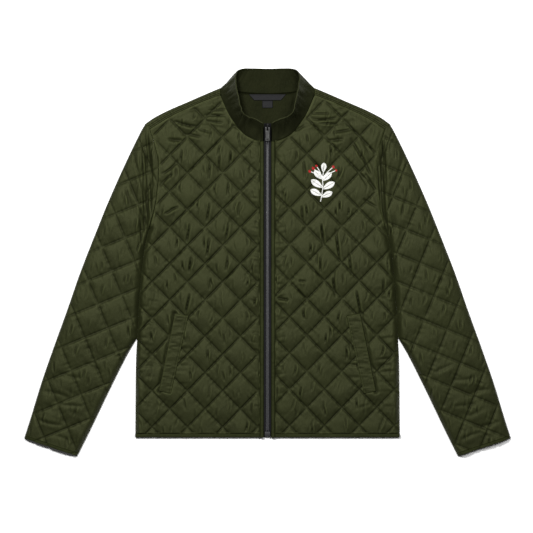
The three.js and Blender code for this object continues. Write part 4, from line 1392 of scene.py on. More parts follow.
    def tube(self, start: float, end: float | None, step: float, grow: float = 0.0, lip: float = 0.0) -> Soup:
        """A stretch of the sleeve as a body open at the cuff's end.

        Args:
            start: where it starts, up from the cuff.
            end: where it ends, or None for the shoulder.
            step: the distance between its rings.
            grow: how much thicker it is than the sleeve.
            lip: the radius of its rounded ends, for a binding.

        Returns:
            The mesh.
        """
        inner, outer = self.stations(start, end, step)
        n = len(inner)
        swell = np.full(n, grow)
        if lip:
            run = np.minimum(np.arange(n), np.arange(n)[::-1]) / (n - 1) * 4
            swell = swell - 0.9 + 0.9 * rounded(run, 1.0)
        outside = self.rings(inner, outer, swell)
        rows = slice(0, n if end is not None else n - 8, 1 if end is not None else 4)
        inside = self.rings(inner[rows], outer[rows], swell[rows], hollow=True)
        around = len(outside[0])
        points = np.vstack([outside.reshape(-1, 3), inside.reshape(-1, 3)])
        faces: list[tuple[int, ...]] = []
        for i in range(n - 1):
            for k in range(around):
                m = (k + 1) % around
                faces.append((i * around + k, i * around + m, (i + 1) * around + m, (i + 1) * around + k))
        base = n * around
        for i in range(len(inside) - 1):
            for k in range(around):
                m = (k + 1) % around
                faces.append((base + i * around + m, base + i * around + k, base + (i + 1) * around + k, base + (i + 1) * around + m))
        for k in range(around):
            m = (k + 1) % around
            faces.append((m, k, base + k, base + m))
        last, inner_last = (n - 1) * around, base + (len(inside) - 1) * around
        if end is None:
            faces.append(tuple(last + k for k in range(around)))
            faces.append(tuple(inner_last + k for k in range(around))[::-1])
        else:
            for k in range(around):
                m = (k + 1) % around
                faces.append((last + k, last + m, inner_last + m, inner_last + k))
        soup = Soup()
        soup.add(points, outward(points, faces))
        return soup

    def build(self, shop: Workshop) -> bpy.types.Object:
        """Makes the sleeve, its binding and its quilting stitches."""
        word = self.side.word
        start = CUFF_BINDING + SEAM
        sleeve = shop.hand_in(self.tube(start, None, self.step), f"sleeve_{word}_cloth", SHELL)
        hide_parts(f"sleeve_{word}")
        binding = shop.hand_in(self.tube(0, CUFF_BINDING, 0.6, 0.25, 1.0), f"cuff_{word}_binding", BINDING)
        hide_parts(f"cuff_binding_{word}")
        sewing = Soup()
        inside = joined(*[line for line in self.trimmed()])
        for run in self.quilt.runs(inside, 5.0, 3.3):
            stitch_rows(sewing, run, self.top)
            stitch_rows(sewing, run, lambda x, y: self.under(x, y) - 0.4, 2.3, 0.5)
        shop.hand_in(sewing, f"sleeve_{word}_quilting_thread", SEWING)
        return sleeve

    def trimmed(self) -> tuple[Array, Array]:
        """The sleeve's outline from the binding up."""
        inner, outer = self.stations(CUFF_BINDING + SEAM, None, 6)
        return outer, inner[::-1]


@dataclass
class Collar:
    """The stand collar: one band from one front end round the neck to the other.

    Attributes:
        foot: the band's foot, from the centre front to the centre back.
        edge: its top edge at the same places.
        wall: its thickness.
        rows: the number of rings along it.
        across: the number of quads from its foot to its edge.
        closer: how far the foot is moved out against the fronts' neck seam.
    """

    foot: Sequence[tuple[float, float, float]] = (
        (8.8, 242.2, 7.6), (27.5, 247, 7.6), (46.5, 258.5, 7.4), (61.5, 276, 7.2), (74.5, 294.5, 7.0), (83.5, 313, 6.8),
        (90.5, 330.5, 6.4), (94, 344, 5.4), (90, 348, 3.2), (76, 344.2, 1.8), (50, 340.2, 1.6), (0, 337.2, 1.6),
    )
    edge: Sequence[tuple[float, float, float]] = (
        (8.8, 276, 36), (24, 284, 38), (39, 288.5, 41), (50, 297, 45), (54.5, 313, 44), (57.8, 330, 41),
        (61, 350, 35), (63, 369, 27), (58.5, 382, 15), (47, 387, 7), (31, 387.8, 3), (0, 387.2, 1.8),
    )
    wall: float = 2.6
    rows: int = 370
    across: int = 34
    closer: float = 0.9
    seed: int = 8

    def band(self) -> tuple[Array, Array]:
        """The foot and the edge all the way round."""
        lines = []
        for table in (self.foot, self.edge):
            half = [tuple(p) for p in table]
            whole = half + [(-x, y, z) for x, y, z in half[-2::-1]]
            points = np.array(whole)
            last = len(points) - 1
            t = np.linspace(0, 1, 20, endpoint=False)[:, None]
            runs = []
            for i in range(last):
                before, start, end, after = (points[np.clip(k, 0, last)] for k in (i - 1, i, i + 1, i + 2))
                leave, arrive = (end - before) / 2, (after - start) / 2
                cubic = (2 * start - 2 * end + leave + arrive) * t**3
                runs.append(cubic + (3 * end - 3 * start - 2 * leave - arrive) * t**2 + leave * t + start)
            runs.append(points[-1:])
            dense = np.vstack(runs)
            at = np.linspace(0, len(dense) - 1, self.rows)
            lines.append(np.column_stack([np.interp(at, np.arange(len(dense)), dense[:, k]) for k in range(3)]))
        foot = lines[0]
        out = foot[:, :2] - [0, 300]
        out /= np.linalg.norm(out, axis=1)[:, None]
        foot[:, :2] += self.closer * out * (1 - eased(foot[:, 1], 325, 340))[:, None]
        return foot, lines[1]

    def sheet(self) -> tuple[Array, Array]:
        """The band's middle face as (row, place across, coordinate), and the way out of it."""
        foot, edge = self.band()
        v = np.linspace(0, 1, self.across + 1)
        middle = foot[:, None, :] + v[None, :, None] * (edge - foot)[:, None, :]
        along = np.gradient(middle, axis=0)
        up = np.broadcast_to((edge - foot)[:, None, :], middle.shape)
        normal = -np.cross(along, up)
        normal /= np.linalg.norm(normal, axis=2)[:, :, None]
        u = np.linspace(0, 1, self.rows)[:, None]
        back = 1 - eased(np.abs(u - 0.5), 0.12, 0.25)
        bow = 2.2 * np.sin(np.pi * v)[None, :] * (1 - back)
        grain = Grain(self.seed)
        length = 300.0
        standing = 1 - back
        creases = grain.at(u * length / 6 + 0 * v, v[None, :] * 1.2 + 0 * u) * 2.2
        creases = creases + grain.at(u * length / 3 + 50, v[None, :] * 2.2 + 9 + 0 * u) * 1.0
        drape = grain.at(u * length / 30 + 4 + 0 * v, v[None, :] * 1.2 + 20 + 0 * u) * 1.8
        calm = np.sin(np.pi * np.clip(v, 0.03, 0.93))[None, :] ** 0.5
        bow = bow + (creases + drape) * (0.35 + 0.65 * standing) * calm
        stitched = np.exp(-(((v[None, :] - 0.88) * 50 / 1.1) ** 2))
        self.sunk = 0.5 * stitched
        return middle + normal * bow[:, :, None], normal

    def build(self, shop: Workshop) -> bpy.types.Object:
        """Makes the band and its top stitching."""
        middle, normal = self.sheet()
        v = np.linspace(0, 1, self.across + 1)
        length = 45.0
        edge_gap = np.minimum(v, 1 - v) * length
        soft = np.where(v < 0.5, rounded(edge_gap + 0.5, 0.9), rounded(edge_gap + 0.25, 2.2))
        half = self.wall / 2 * soft[None, :] - self.sunk * 0.8
        end = np.minimum(np.arange(self.rows), np.arange(self.rows)[::-1]) * 0.75
        half = half * rounded(end + 0.3, 1.8)[:, None]
        outer = middle + normal * half[:, :, None]
        inner = middle - normal * half[:, :, None]
        outer[:, :, 2] = np.maximum(outer[:, :, 2], 0.05)
        inner[:, :, 2] = np.maximum(inner[:, :, 2], 0.05)
        grid = np.concatenate([outer, inner[:, ::-1]], axis=1)
        points, faces = lattice_body(grid)
        soup = Soup()
        soup.add(points, outward(points, faces))
        # The band's outer face is the nylon coloured darker, a painted shade for the standing collar.
        collar = shop.hand_in(soup, "collar_cloth", PLAIN_PAINTED_SHADE)
        # The band's face toward the neck takes the much darker inside nylon: painted shade for that recess.
        collar.data.materials.append(shop.wardrobe.of(INSIDE_PAINTED_SHADE))
        around = grid.shape[1]
        for face in collar.data.polygons[: (self.rows - 1) * around]:
            face.material_index = int(face.index % around < self.across)
        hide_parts("collar")
        self.top_stitches(shop, middle, normal)
        return collar

    def top_stitches(self, shop: Workshop, middle: Array, normal: Array) -> None:
        """Sews a row of stitches near the collar's top edge, on both faces."""
        column = int(round(0.88 * self.across))
        sewing = Soup()
        for sign in (1, -1):
            line = middle[:, column] + sign * normal[:, column] * 1.05
            line = respaced(line, 3.2)[2:-2]
            out = np.column_stack([np.interp(np.linspace(0, 1, len(line)), np.linspace(0, 1, self.rows), sign * normal[:, column, k]) for k in range(3)])
            run = np.gradient(line, axis=0)
            run /= np.linalg.norm(run, axis=1)[:, None]
            side = np.cross(run, out)
            for p, r, o, s in zip(line, run, out, side):
                ring = [p - 1.1 * r - 0.1 * o, p + 1.1 * r - 0.1 * o, p + 0.25 * s + 0.1 * o, p - 0.25 * s + 0.1 * o, p + 0.32 * o]
                faces = ((0, 2, 4), (2, 1, 4), (1, 3, 4), (3, 0, 4), (0, 3, 1, 2))
                sewing.add(np.array(ring), faces)
        shop.hand_in(sewing, "collar_thread", SEWING)


@dataclass
class Edging:
    """The plackets beside the zip, and the hem's binding.

    Attributes:
        seed: of their unevenness.
    """

    seed: int = 12

    def __post_init__(self) -> None:
        """Draws its unevenness."""
        self.grain = Grain(self.seed)

    def strip(self, start: Array, end: Array, width: float, low: Surface, top: float, step: float) -> Soup:
        """A narrow folded strip of cloth with soft puckers.

        Args:
            start: the middle of its one end on the plan.
            end: the middle of its other end.
            width: its width.
            low: the height of its lower face at (x, y).
            top: the height of its upper face.
            step: the distance between its rings.

        Returns:
            The mesh.
        """
        length = float(np.linalg.norm(end - start))
        count = int(length / step)
        at = np.linspace(0, 1, count)[:, None]
        path = start + at * (end - start)
        along = (end - start) / length
        across = np.array([-along[1], along[0]])
        v = np.linspace(-1, 1, 11)
        rings = []
        for i, spot in enumerate(path):
            reach = width / 2
            side_wave = 0.18 * self.grain.at(np.array([i * step / 11]), np.array([2.5]))[0]
            x, y = spot[0] + across[0] * v * reach, spot[1] + across[1] * v * reach
            base = low(x, y)
            pucker = self.grain.at(np.full(11, i * step / 4.2), v * 0.8 + start[0]) * 0.38
            pucker = pucker + self.grain.at(np.full(11, i * step / 17), v * 0.3 + start[1]) * 0.3
            crown = top + (pucker + 0.25) * np.sqrt(np.clip(1 - v**2, 0, 1))
            crown = base + (crown - base) * np.sqrt(np.clip(1 - v**6, 0, 1)) * 0.92 + 0.4
            x = x + side_wave * across[0]
            y = y + side_wave * across[1]
            upper = np.column_stack([x, y, crown])
            under = np.column_stack([x, y, base + 0.05])
            rings.append(np.vstack([upper, under[::-1]]))
        points, faces = lattice_body(np.array(rings))
        soup = Soup()
        soup.add(points, outward(points, faces))
        return soup

    def build(self, shop: Workshop, tapes: dict[Side, bpy.types.Object]) -> None:
        """Makes both plackets and the three stretches of the hem's binding."""
        for side in Side:
            s, word = side.value, side.word
            x = s * (PLACKET_INNER + PLACKET_WIDTH / 2)
            strip = self.strip(np.array([x, HEM_Y]), np.array([x, 241.0]), PLACKET_WIDTH, front_inside, 9.9, 1.5)
            placket = shop.hand_in(strip, f"placket_{word}_cloth", BINDING)
            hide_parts(f"placket_{word}")
            y = HEM_Y + HEM_BINDING / 2
            ends = np.array([s * FRONT_EDGE, y]), np.array([s * SIDE_SEAM[-1][0], y])
            hem = shop.hand_in(self.strip(*ends, HEM_BINDING, front_inside, 8.6, 1.5), f"hem_{word}_cloth", BINDING)
            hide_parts(f"hem_binding_{word}")
            self.edge_rows(shop, side)
        width = SIDE_SEAM[-1][0]
        ends = np.array([-width, HEM_Y + HEM_BINDING / 2]), np.array([width, HEM_Y + HEM_BINDING / 2])
        back = self.strip(*ends, HEM_BINDING, level(0.0), 3.2, 2.0)
        binding = shop.hand_in(back, "back_hem_cloth", BINDING)
        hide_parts("hem_binding_back")

    def edge_rows(self, shop: Workshop, side: Side) -> None:
        """Sews the rows beside the zip and along the hem's binding."""
        s, word = side.value, side.word
        sewing = Soup()
        y = np.arange(HEM_Y + 4, 238, 3.1)
        stitch_rows(sewing, np.column_stack([np.full(len(y), s * 8.9), y]), level(9.95), 2.1, 0.45)
        x = np.arange(FRONT_EDGE + 3, SIDE_SEAM[-1][0] - 2, 3.1) * s
        run = np.column_stack([x, np.full(len(x), HEM_Y + HEM_BINDING - 1.6)])
        stitch_rows(sewing, run, level(8.75), 2.1, 0.45)
        shop.hand_in(sewing, f"edge_{word}_thread", SEWING)


@dataclass
class Welt:
    """The strip of plain cloth along a slanted pocket's mouth.

    Attributes:
        side: which front it is on.
        bed: the height of its lower face.
        thick: its thickness.
        step: the size of a quad.
    """

    side: Side
    bed: float = 9.7
    thick: float = 2.5
    step: float = 1.1

    def build(self, shop: Workshop) -> bpy.types.Object:
        """Makes the welt and its sewing."""
        s, word = self.side.value, self.side.word
        grain = Grain(20 + s)
        outline = np.array([(s * x, y) for x, y in WELT])
        seam_edge = outline[[0, 3]]

        def top(x: Array, y: Array, gap: Array) -> Array:
            """The upper face: a roll along the mouth and a stitched groove along the inner edge."""
            inner, _, _ = distance_to(seam_edge, x, y)
            groove = 0.9 * np.exp(-(((inner - 3.2) / 1.3) ** 2))
            wave = 0.5 * grain.at(x / 16, y / 7) + 0.45 * grain.at(x / 11 + 9, y / 3.6)
            face = self.bed + self.thick + 0.5 + wave - groove
            middle = self.bed + 0.9
            return middle + (face - middle) * rounded(gap, 2.4)

        def bottom(x: Array, y: Array, gap: Array) -> Array:
            """The lower face."""
            return self.bed + 0.9 - 0.85 * rounded(gap, 2.0)

        welt = shop.hand_in(heightfield(outline, self.step, top, bottom), f"pocket_{word}_welt_cloth", SHELL)
        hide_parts(f"pocket_welt_{word}")
        sewing = Soup()
        inner = respaced(seam_edge, 3.0)
        shift = (outline[1] - outline[0]) / np.linalg.norm(outline[1] - outline[0])
        stitch_rows(sewing, inner[1:-1] + 3.2 * shift, lambda x, y: np.full(x.shape, self.bed + self.thick - 0.5), 2.1, 0.5)
        for near, far in ((0, 1), (3, 2)):
            end = respaced(outline[[near, far]], 1.6)[2:-1]
            inward = (outline[3] - outline[0]) / np.linalg.norm(outline[3] - outline[0]) * (2.4 if near == 0 else -2.4)
            stitch_rows(sewing, end + inward, lambda x, y: np.full(x.shape, self.bed + self.thick + 0.2), 1.5, 0.5)
        shop.hand_in(sewing, f"pocket_{word}_thread", SEWING)
        return welt


@dataclass
class Zip:
    """The front zip: two tapes, the coil's two rows, the bottom stop, the slider and its pull tab.

    Attributes:
        path: its middle line as (y, z).
        pitch: the distance between two turns of the coil.
    """

    path: Sequence[tuple[float, float]] = (
        (-349, 7.7), (0, 7.7), (229, 7.7), (238, 8.5), (244, 11.4), (275, 36.2),
    )
    pitch: float = 1.5
    stop_top: float = -339.0
    tapes: dict[Side, bpy.types.Object] = field(default_factory=dict)

    def spine(self, start: float, end_back: float, spacing: float) -> tuple[Array, Array]:
        """Points along the zip's middle and the way up from its tapes.

        Args:
            start: the y where it starts.
            end_back: how far from the top end it stops.
            spacing: the distance between points.

        Returns:
            The points and the directions.
        """
        line = np.array([(0.0, y, z) for y, z in self.path])
        line[0, 1] = start
        dense = respaced(line, 0.5)
        run = np.r_[0, np.cumsum(np.linalg.norm(np.diff(dense, axis=0), axis=1))]
        count = max(2, int((run[-1] - end_back) / spacing))
        at = np.linspace(0, run[-1] - end_back, count)
        points = np.column_stack([np.interp(at, run, dense[:, k]) for k in range(3)])
        way = np.gradient(points, axis=0)
        way /= np.linalg.norm(way, axis=1)[:, None]
        up = np.cross(np.array([1.0, 0, 0]), way)
        return points, up

    def tape(self, side: Side) -> Soup:
        """One tape, with a ribbed weave."""
        s = side.value
        points, up = self.spine(self.stop_top + SEAM, 0.2, 1.6)
        width = 4.2
        points = points + [s * (2.9 + width / 2), 0, 0]
        section = rounded_section(width, 0.9, 0.35)
        return swept(points, section, up)

    def coil(self, side: Side) -> Soup:
        """One row of the coil's turns."""
        s = side.value
        points, up = self.spine(self.stop_top + SEAM, 14.2, self.pitch)
        if side is Side.RIGHT:
            points = (points + np.vstack([points[1:], points[-1:]])) / 2
            points = points[:-1]
            up = up[:-1]
        soup = Soup()
        angles = np.linspace(0, 2 * math.pi, 6, endpoint=False)
        for p, n in zip(points, up):
            along = np.cross(n, [1.0, 0, 0])
            rings = []
            for x, z, r in ((0.85, 0.2, 0.3), (1.3, 0.75, 0.5), (2.5, 0.85, 0.52), (3.4, 0.35, 0.42)):
                centre = p + [s * x, 0, 0] + n * z
                rings.append([centre + r * (math.cos(a) * along + math.sin(a) * n) for a in angles])
            soup.add_rings(np.array(rings))
        return soup

    def core(self) -> Soup:
        """The dark cord and tape edges under the coil."""
        points, up = self.spine(self.stop_top + SEAM, 14.0, 3.0)
        return swept(points, rounded_section(5.0, 1.3, 0.4), up)

    def bevelled(self, shop: Workshop, node: str, name: str, finish: Any, width: float, body: str) -> bpy.types.Object:
        """A copy of a solid with softened edges."""
        source = shop.nodes[node]
        made = bpy.data.objects.new(name, source.data.copy())
        bpy.context.scene.collection.objects.link(made)
        made.data.materials.clear()
        made.data.materials.append(shop.wardrobe.of(finish))
        weld = made.modifiers.new("weld", "WELD")
        weld.merge_threshold = 0.00001
        flat = made.modifiers.new("flat", "DECIMATE")
        flat.decimate_type, flat.angle_limit = "DISSOLVE", math.radians(2)
        bevel = made.modifiers.new("bevel", "BEVEL")
        bevel.width, bevel.segments, bevel.limit_method = width * MM, 3, "ANGLE"
        bevel.angle_limit, bevel.harden_normals = math.radians(35), False
        bpy.context.view_layer.update()
        done = bpy.data.meshes.new_from_object(made.evaluated_get(bpy.context.evaluated_depsgraph_get()))
        made.modifiers.clear()
        made.data = done
        done.polygons.foreach_set("use_smooth", [True] * len(done.polygons))
        done.set_sharp_from_angle(angle=math.radians(50))
        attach(made, body)
        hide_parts(node)
        LOG.info("%s: %d faces", name, len(done.polygons))
        return made

    def build(self, shop: Workshop) -> None:
        """Makes every piece of the zip."""
        for side in Side:
            word = side.word
            tape = shop.hand_in(self.tape(side), f"zip_tape_{word}_cloth", TAPE)
            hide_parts(f"zip_tape_{word}")
            self.tapes[side] = tape
            coil = shop.hand_in(self.coil(side), f"zip_coil_{word}", COIL)
            if side is Side.LEFT:
                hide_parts("zip_chain")
        shop.hand_in(self.core(), "zip_core", HOUSING)
        self.bevelled(shop, "zip_box", "zip_stop", HOUSING, 0.35, JACKET)
        self.bevelled(shop, "zip_slider", "zip_slider_body", ENAMEL, 0.22, JACKET)
        self.bevelled(shop, "zip_pull", "zip_pull_tab", METAL, 0.28, PULL_TAB)


@dataclass
class Labels:
    """The bare woven label at the back neck and the small one under it."""

    def build(self, shop: Workshop) -> None:
        """Makes both labels."""
        neck = np.array([(-27, 323.5), (27, 323.5), (38, 336), (-38, 336)], float)
        size = np.array([(-10.5, 308.2), (10.5, 308.2), (10.5, 323.2), (-10.5, 323.2)], float)
        for name, node, outline, flat in (
            ("neck_label_cloth", "neck_label", neck, (0.078, 0.013)),
            ("size_label_cloth", "size_label", size, (0.0212, 0.0152)),
        ):
            grain = Grain(30)

            def top(x: Array, y: Array, gap: Array) -> Array:
                """The upper face, with a folded edge."""
                fold = 0.18 * np.exp(-(((gap - 1.2) / 0.8) ** 2))
                return 4.5 + (0.45 + fold + 0.12 * grain.at(x / 8, y / 6)) * rounded(gap, 0.8)

            def bottom(x: Array, y: Array, gap: Array) -> Array:
                """The lower face."""
                return 4.5 - 0.15 * rounded(gap, 0.8)

            label = shop.hand_in(heightfield(outline, 0.6, top, bottom), name, LABEL)
            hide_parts(node)


@dataclass
class Sprig:
    """A generic embroidered leaf sprig with a few berries, on the wearer's left chest.

    Attributes:
        front: the panel that it is sewn to.
        x: its middle.
        y: its middle.
        height: from the stem's foot to the top leaf's tip.
    """

    front: FrontPanel
    x: float = 109.0
    y: float = 158.0
    height: float = 74.0
    thread: float = 0.62

    def surface(self, x: Array, y: Array) -> Array:
        """The cloth's height under the sewing, drawn a little flatter by it."""
        face = self.front.surface(x, y)
        calm = self.front.surface(np.full(x.shape, self.x), np.full(y.shape, self.y))
        return np.maximum(face, 0.5 * face + 0.5 * (calm - 1.2))

    def thread_run(self, soup: Soup, start: Array, end: Array, arch: float) -> None:
        """Adds one raised thread from a point to another."""
        run = end - start
        length = float(np.linalg.norm(run))
        if length < 0.2:
            return
        along = run / length
        side = np.array([-along[1], along[0]]) * self.thread / 2
        at = np.array([0.0, 0.18, 0.5, 0.82, 1.0])
        spots = start + at[:, None] * run
        base = self.surface(spots[:, 0], spots[:, 1])
        rise = arch * np.sin(np.pi * np.clip(at, 0.04, 0.96)) ** 0.6
        rings = []
        for k, (spot, z, up) in enumerate(zip(spots, base, rise)):
            pinch = 0.35 if k in (0, 4) else 1.0
            low, high = z - 0.3, z + 0.12 + up
            left, right = spot + side * pinch, spot - side * pinch
            rings.append([(*left, low), (*left, high - 0.14), (*spot, high + 0.1), (*right, high - 0.14), (*right, low)])
        soup.add_rings(np.array(rings))

    def leaf(self, soup: Soup, foot: Array, direction: float, length: float, width: float) -> None:
        """Adds one leaf of slanting satin stitches on each side of its rib."""
        along = np.array([math.sin(direction), math.cos(direction)])
        across = np.array([along[1], -along[0]])
        count = int(length / (self.thread * 0.86))
        for k in range(count):
            t = (k + 0.5) / count
            half = width / 2 * math.sin(math.pi * t**0.8) ** 0.85
            rib = foot + along * length * t
            for sign in (-1, 1):
                tip = rib + sign * across * half + along * half * 0.75
                self.thread_run(soup, rib + sign * across * 0.12, tip, 0.45)

    def stem(self, soup: Soup, line: Array) -> None:
        """Adds the stem as short slanting stitches."""
        points = respaced(line, self.thread * 0.9)
        way = np.gradient(points, axis=0)
        way /= np.linalg.norm(way, axis=1)[:, None]
        for p, w in zip(points, way):
            slant = np.array([w[1], -w[0]]) * 0.85 + w * 0.5
            self.thread_run(soup, p - slant, p + slant, 0.3)

    def berry(self, soup: Soup, centre: Array, radius: float) -> None:
        """Adds one round berry of parallel stitches."""
        count = int(2 * radius / (self.thread * 0.86))
        for k in range(count):
            v = -radius + (k + 0.5) * 2 * radius / count
            reach = math.sqrt(max(radius**2 - v**2, 0.01))
            a = centre + np.array([-reach * 0.8 - 0.6 * v, v * 0.8 - 0.6 * reach])
            b = centre + np.array([reach * 0.8 - 0.6 * v, v * 0.8 + 0.6 * reach])
            self.thread_run(soup, a, b, 0.6)

    def build(self, shop: Workshop) -> None:
        """Makes the white sprig and the red berries."""
        foot = np.array([self.x - 3, self.y - self.height / 2])
        bends = [(0, 0), (2.5, 14), (4.5, 30), (4.0, 46), (6.0, 60)]
        stem = smooth_line([(foot[0] + x, foot[1] + y) for x, y in bends], 1)
        white, red = Soup(), Soup()
        self.stem(white, stem)
        for share, lean, length, width in (
            (0.16, 66, 24, 12), (0.2, -62, 25, 12.5), (0.42, 60, 28, 13), (0.47, -56, 28, 13),
            (0.7, 48, 24, 12), (0.75, -44, 24, 12), (0.97, 4, 19, 11),
        ):
            start = stem[int(share * (len(stem) - 1))]
            self.leaf(white, start, math.radians(lean), length, width)
        for dx, dy, r in ((-18.5, 66, 3.4), (-25.5, 60, 3.0), (21.5, 69, 3.0), (-12, 71, 2.6), (27, 62, 2.4)):
            berry = foot + np.array([dx + 4, dy])
            root = stem[int(0.8 * (len(stem) - 1))]
            self.stem(white, np.array([root, (root + berry) / 2 + [0, 1.5], berry]))
            self.berry(red, berry, r)
        shop.hand_in(white, "chest_sprig_thread", WHITE_THREAD)
        shop.hand_in(red, "chest_berry_thread", RED_THREAD)


@dataclass
class Studio:
    """The floor, the soft light and the camera that looks straight down.

    Attributes:
        distance: the camera's height over the garment, in metres.
        shift: the camera's place over the floor, in millimetres.
    """

    distance: float = 3.6
    shift: tuple[float, float] = (-2.0, -9.0)

    def camera(self) -> None:
        """Places the camera so that the photograph's frame holds the same stretch of floor."""
        data = bpy.data.cameras.new("camera")
        data.sensor_width = 36.0
        data.lens = 36.0 * self.distance / (PHOTO_SIDE_MM * MM)
        data.clip_start, data.clip_end = 0.1, 30
        camera = bpy.data.objects.new("camera", data)
        camera.location = (self.shift[0] * MM, self.shift[1] * MM, self.distance + 0.008)
        bpy.context.scene.collection.objects.link(camera)
        bpy.context.scene.camera = camera

    def floor(self) -> None:
        """Lays the plain pale floor."""
        soup = Soup()
        r = 6000.0
        soup.add(np.array([(-r, -r, -0.4), (r, -r, -0.4), (r, r, -0.4), (-r, r, -0.4)]), [(0, 1, 2, 3)])
        book = NodeBook("pale_floor")
        tone = book.noise(900.0, 2.0)
        colour = book.mix(tone, linear(250, 250, 250), linear(253, 253, 253))
        floor = soup.made("floor", book.finish({"Base Color": colour, "Roughness": 0.9 + tone * 0.05}), False)

    def lights(self) -> None:
        """Sets a broad key light from the upper left, a fill and an even sky."""
        world = bpy.data.worlds.new("studio")
        bpy.context.scene.world = world
        world.use_nodes = True
        sky = world.node_tree.nodes["Background"]
        sky.inputs["Color"].default_value = (1, 1, 1, 1)
        sky.inputs["Strength"].default_value = 0.075
        lamps = ("key", (-0.75, 1.1, 2.55), 0.6, 92), ("fill", (0.95, 0.7, 2.6), 0.7, 41)
        for name, place, size, power in lamps:
            data = bpy.data.lights.new(name, "AREA")
            data.size, data.energy = size, power
            lamp = bpy.data.objects.new(name, data)
            lamp.location = place
            lamp.rotation_euler = (Vector((0, 0, 0)) - Vector(place)).to_track_quat("-Z", "Y").to_euler()
            bpy.context.scene.collection.objects.link(lamp)

    def build(self) -> None:
        """Sets up the studio."""
        self.camera()
        self.floor()
        self.lights()
        bpy.context.scene.view_settings.view_transform = "Standard"


RIGHT_FRONT_CREASES = (
    Crease(-173, 210, 30, 6), Crease(-116, 183, 40, 5, 1.2), Crease(-97, 201, 46, 4, 1.1), Crease(-74, 210, 30, 6),
    Crease(-35, 187, 20, 4, 0.7), Crease(-79, 146, 30, 7), Crease(-119, 99, 40, 9, 1.3), Crease(-81, 61, 40, 9, 1.3),
    Crease(-57, 106, 32, 6), Crease(-159, 57, 40, 10, 1.3), Crease(-119, 29, 40, 10, 1.4), Crease(-155, -6, 34, 8, 1.2),
    Crease(-81, -2, 34, 9, 1.2), Crease(-115, -44, 26, 7, 1.0), Crease(-160, -83, 42, 12, 1.7),
    Crease(-195, 102, 26, 60, 1.3, 2.6), Crease(-186, 108, 20, 72, 1.0), Crease(-161, 277, 56, 102, 1.5, 3.0, 3),
    Crease(-185, 244, 30, 95, 1.6, 3.6), Crease(-152, 252, 40, 100, 1.3, 3.0, -2), Crease(-105, 293, 46, 92, 1.3, 2.6),
    Crease(-101, 304, 38, 88, 1.0, 2.3), Crease(-107, 280, 38, 96, 1.1, 2.5), Crease(-125, 262, 30, 106, 1.0, 2.6),
    Crease(-195, 190, 46, 50, 1.5, 2.6, 3), Crease(-203, 163, 38, 46, 1.3, 2.6, -2), Crease(-60, 268, 30, 120, 1.0, 2.6),
)
LEFT_FRONT_CREASES = (
    Crease(73, 185, 36, -3, 1.1), Crease(69, 96, 34, -4, 1.2), Crease(110, 52, 50, -5, 1.7), Crease(105, -6, 34, -4, 1.2),
    Crease(140, 33, 68, -7, 1.7), Crease(165, -4, 50, -6, 1.2), Crease(133, -51, 40, -8, 1.7), Crease(182, -81, 52, -10, 1.8),
    Crease(127, 222, 26, -5), Crease(143, 180, 26, -5), Crease(231, -50, 30, 0, 1.0), Crease(31, -74, 26, 100, 1.5, 3.0),
    Crease(69, -38, 16, 96, 1.1), Crease(178, 226, 52, -28, 1.5, 2.6), Crease(196, 196, 56, -24, 1.4, 2.6),
    Crease(135, 244, 36, 84, 1.5, 3.6), Crease(112, 287, 54, 88, 1.4, 2.8, 2), Crease(122, 275, 44, 94, 1.2, 2.6, -2),
    Crease(106, 297, 36, 90, 1.0, 2.3), Crease(150, 262, 40, 80, 1.3, 3.0), Crease(188, 170, 44, -34, 1.1, 2.4),
    Crease(206, 160, 40, -30, 1.2, 2.4), Crease(204, 118, 34, -58, 1.2, 2.6), Crease(62, 266, 30, 62, 1.0, 2.6),
)
FRONT_ZONES = (
    GatherZone(150, 290, 62, 22, 84, 7.0, 46, 1.9), GatherZone(110, 276, 40, 18, 80, 6.0, 34, 1.5),
    GatherZone(238, -90, 18, 60, 80, 6.0, 26, 1.3), GatherZone(240, -210, 20, 80, 84, 6.5, 30, 1.5),
    GatherZone(174, -190, 17, 60, 92, 6.0, 30, 1.6), GatherZone(205, -280, 34, 26, 70, 6.5, 26, 0.8),
    GatherZone(24, -60, 10, 270, 80, 5.5, 16, 1.2), GatherZone(44, 232, 26, 20, 50, 5.0, 20, 0.9),
    GatherZone(200, 215, 20, 50, -30, 5.5, 34, 1.3), GatherZone(120, -330, 140, 14, 0, 7.0, 22, 0.6),
)
SLEEVE_CREASES = (
    Crease(262, 180, 80, 18, 0.9, 4.0), Crease(275, 120, 70, 14, 0.7, 4.0), Crease(252, 70, 60, 4, 0.9, 4.5),
    Crease(398, -230, 56, 80, 0.6, 4.5, 4), Crease(420, -262, 60, 74, 0.7, 4.5, -4), Crease(392, -286, 50, 84, 0.5, 4.0),
    Crease(438, -322, 60, 78, 0.8, 4.5, 4), Crease(408, -348, 50, 70, 0.5, 4.0, -3), Crease(352, -212, 48, 66, 0.6, 4.5),
)
HEAD_FOLDS = {
    Side.LEFT: (
        (236, 250, 1, 5), (231, 225, 5, 8), (229, 204, 7, 10), (228, 160, 7.5, 10), (229, 124, 8, 8), (233, 95, 7, 7),
        (241, 66, 6, 5), (246, 40, 1, 4),
    ),
    Side.RIGHT: (
        (247, 268, 2, 6), (243, 235, 7, 10), (240, 204, 9.5, 12), (239, 160, 10, 12), (240, 124, 10, 11), (243, 95, 9, 10),
        (249, 64, 7, 8), (255, 30, 1, 6),
    ),
}
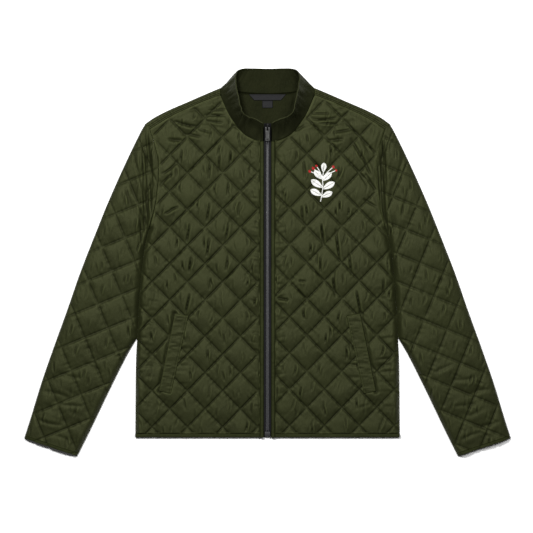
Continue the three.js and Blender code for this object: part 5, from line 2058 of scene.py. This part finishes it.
SLEEVE_ZONES = (
    GatherZone(250, 236, 20, 26, 10, 5.5, 30, 1.2), GatherZone(425, -300, 60, 60, 72, 8.0, 30, 0.9),
    GatherZone(350, -190, 50, 40, 60, 8.0, 28, 0.5), GatherZone(300, 60, 40, 90, 22, 9.0, 50, 0.4),
)


def make_jacket(shop: Workshop) -> None:
    """Makes every sub-assembly of the jacket, from the back up.

    Args:
        shop: the workshop.
    """
    BackPanel(Quilt((0, -76), (35.1, 36.2), (-35.1, 36.2))).build(shop)
    fronts = {
        Side.LEFT: FrontPanel(
            Side.LEFT, Quilt((79, -74), (34.9, 36.2), (-34.9, 36.2), 0.5, 0.8, 3.8, 2.4, 1.6), LEFT_FRONT_CREASES, FRONT_ZONES, seed=3
        ),
        Side.RIGHT: FrontPanel(
            Side.RIGHT,
            Quilt((-125.2, -76.5), (35.3, 36.3), (-35.3, 36.3), 0.8, 0.5, 3.8, 1.6, 2.4),
            RIGHT_FRONT_CREASES,
            mirrored_zones(FRONT_ZONES),
            seed=4,
        ),
    }
    for front in fronts.values():
        front.build(shop)
    quilts = {
        Side.LEFT: Quilt((332.2, -68.8), (-19.5, -47.5), (-46.5, 19)),
        Side.RIGHT: Quilt((-338.6, -84.4), (19.5, -47.5), (46.5, 19)),
    }
    for side, quilt in quilts.items():
        left = side is Side.LEFT
        creases = SLEEVE_CREASES if left else mirrored_creases(SLEEVE_CREASES)
        zones = SLEEVE_ZONES if left else mirrored_zones(SLEEVE_ZONES)
        Sleeve(side, quilt, creases, zones, seed=6 + side.value, head_fold=HEAD_FOLDS[side]).build(shop)
    zip_front = Zip()
    zip_front.build(shop)
    Edging().build(shop, zip_front.tapes)
    for side in Side:
        Welt(side).build(shop)
    Collar().build(shop)
    Labels().build(shop)
    Sprig(fronts[Side.LEFT]).build(shop)


def main() -> None:
    """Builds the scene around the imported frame."""
    logging.basicConfig(level=logging.INFO, format="%(name)s: %(message)s")
    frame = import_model()
    Studio().build()
    shop = Workshop(Wardrobe(), frame["nodes"])
    make_jacket(shop)
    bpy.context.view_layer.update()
    LOG.info("all pieces: %d triangles", shop.count)


if __name__ == "__main__":
    main()
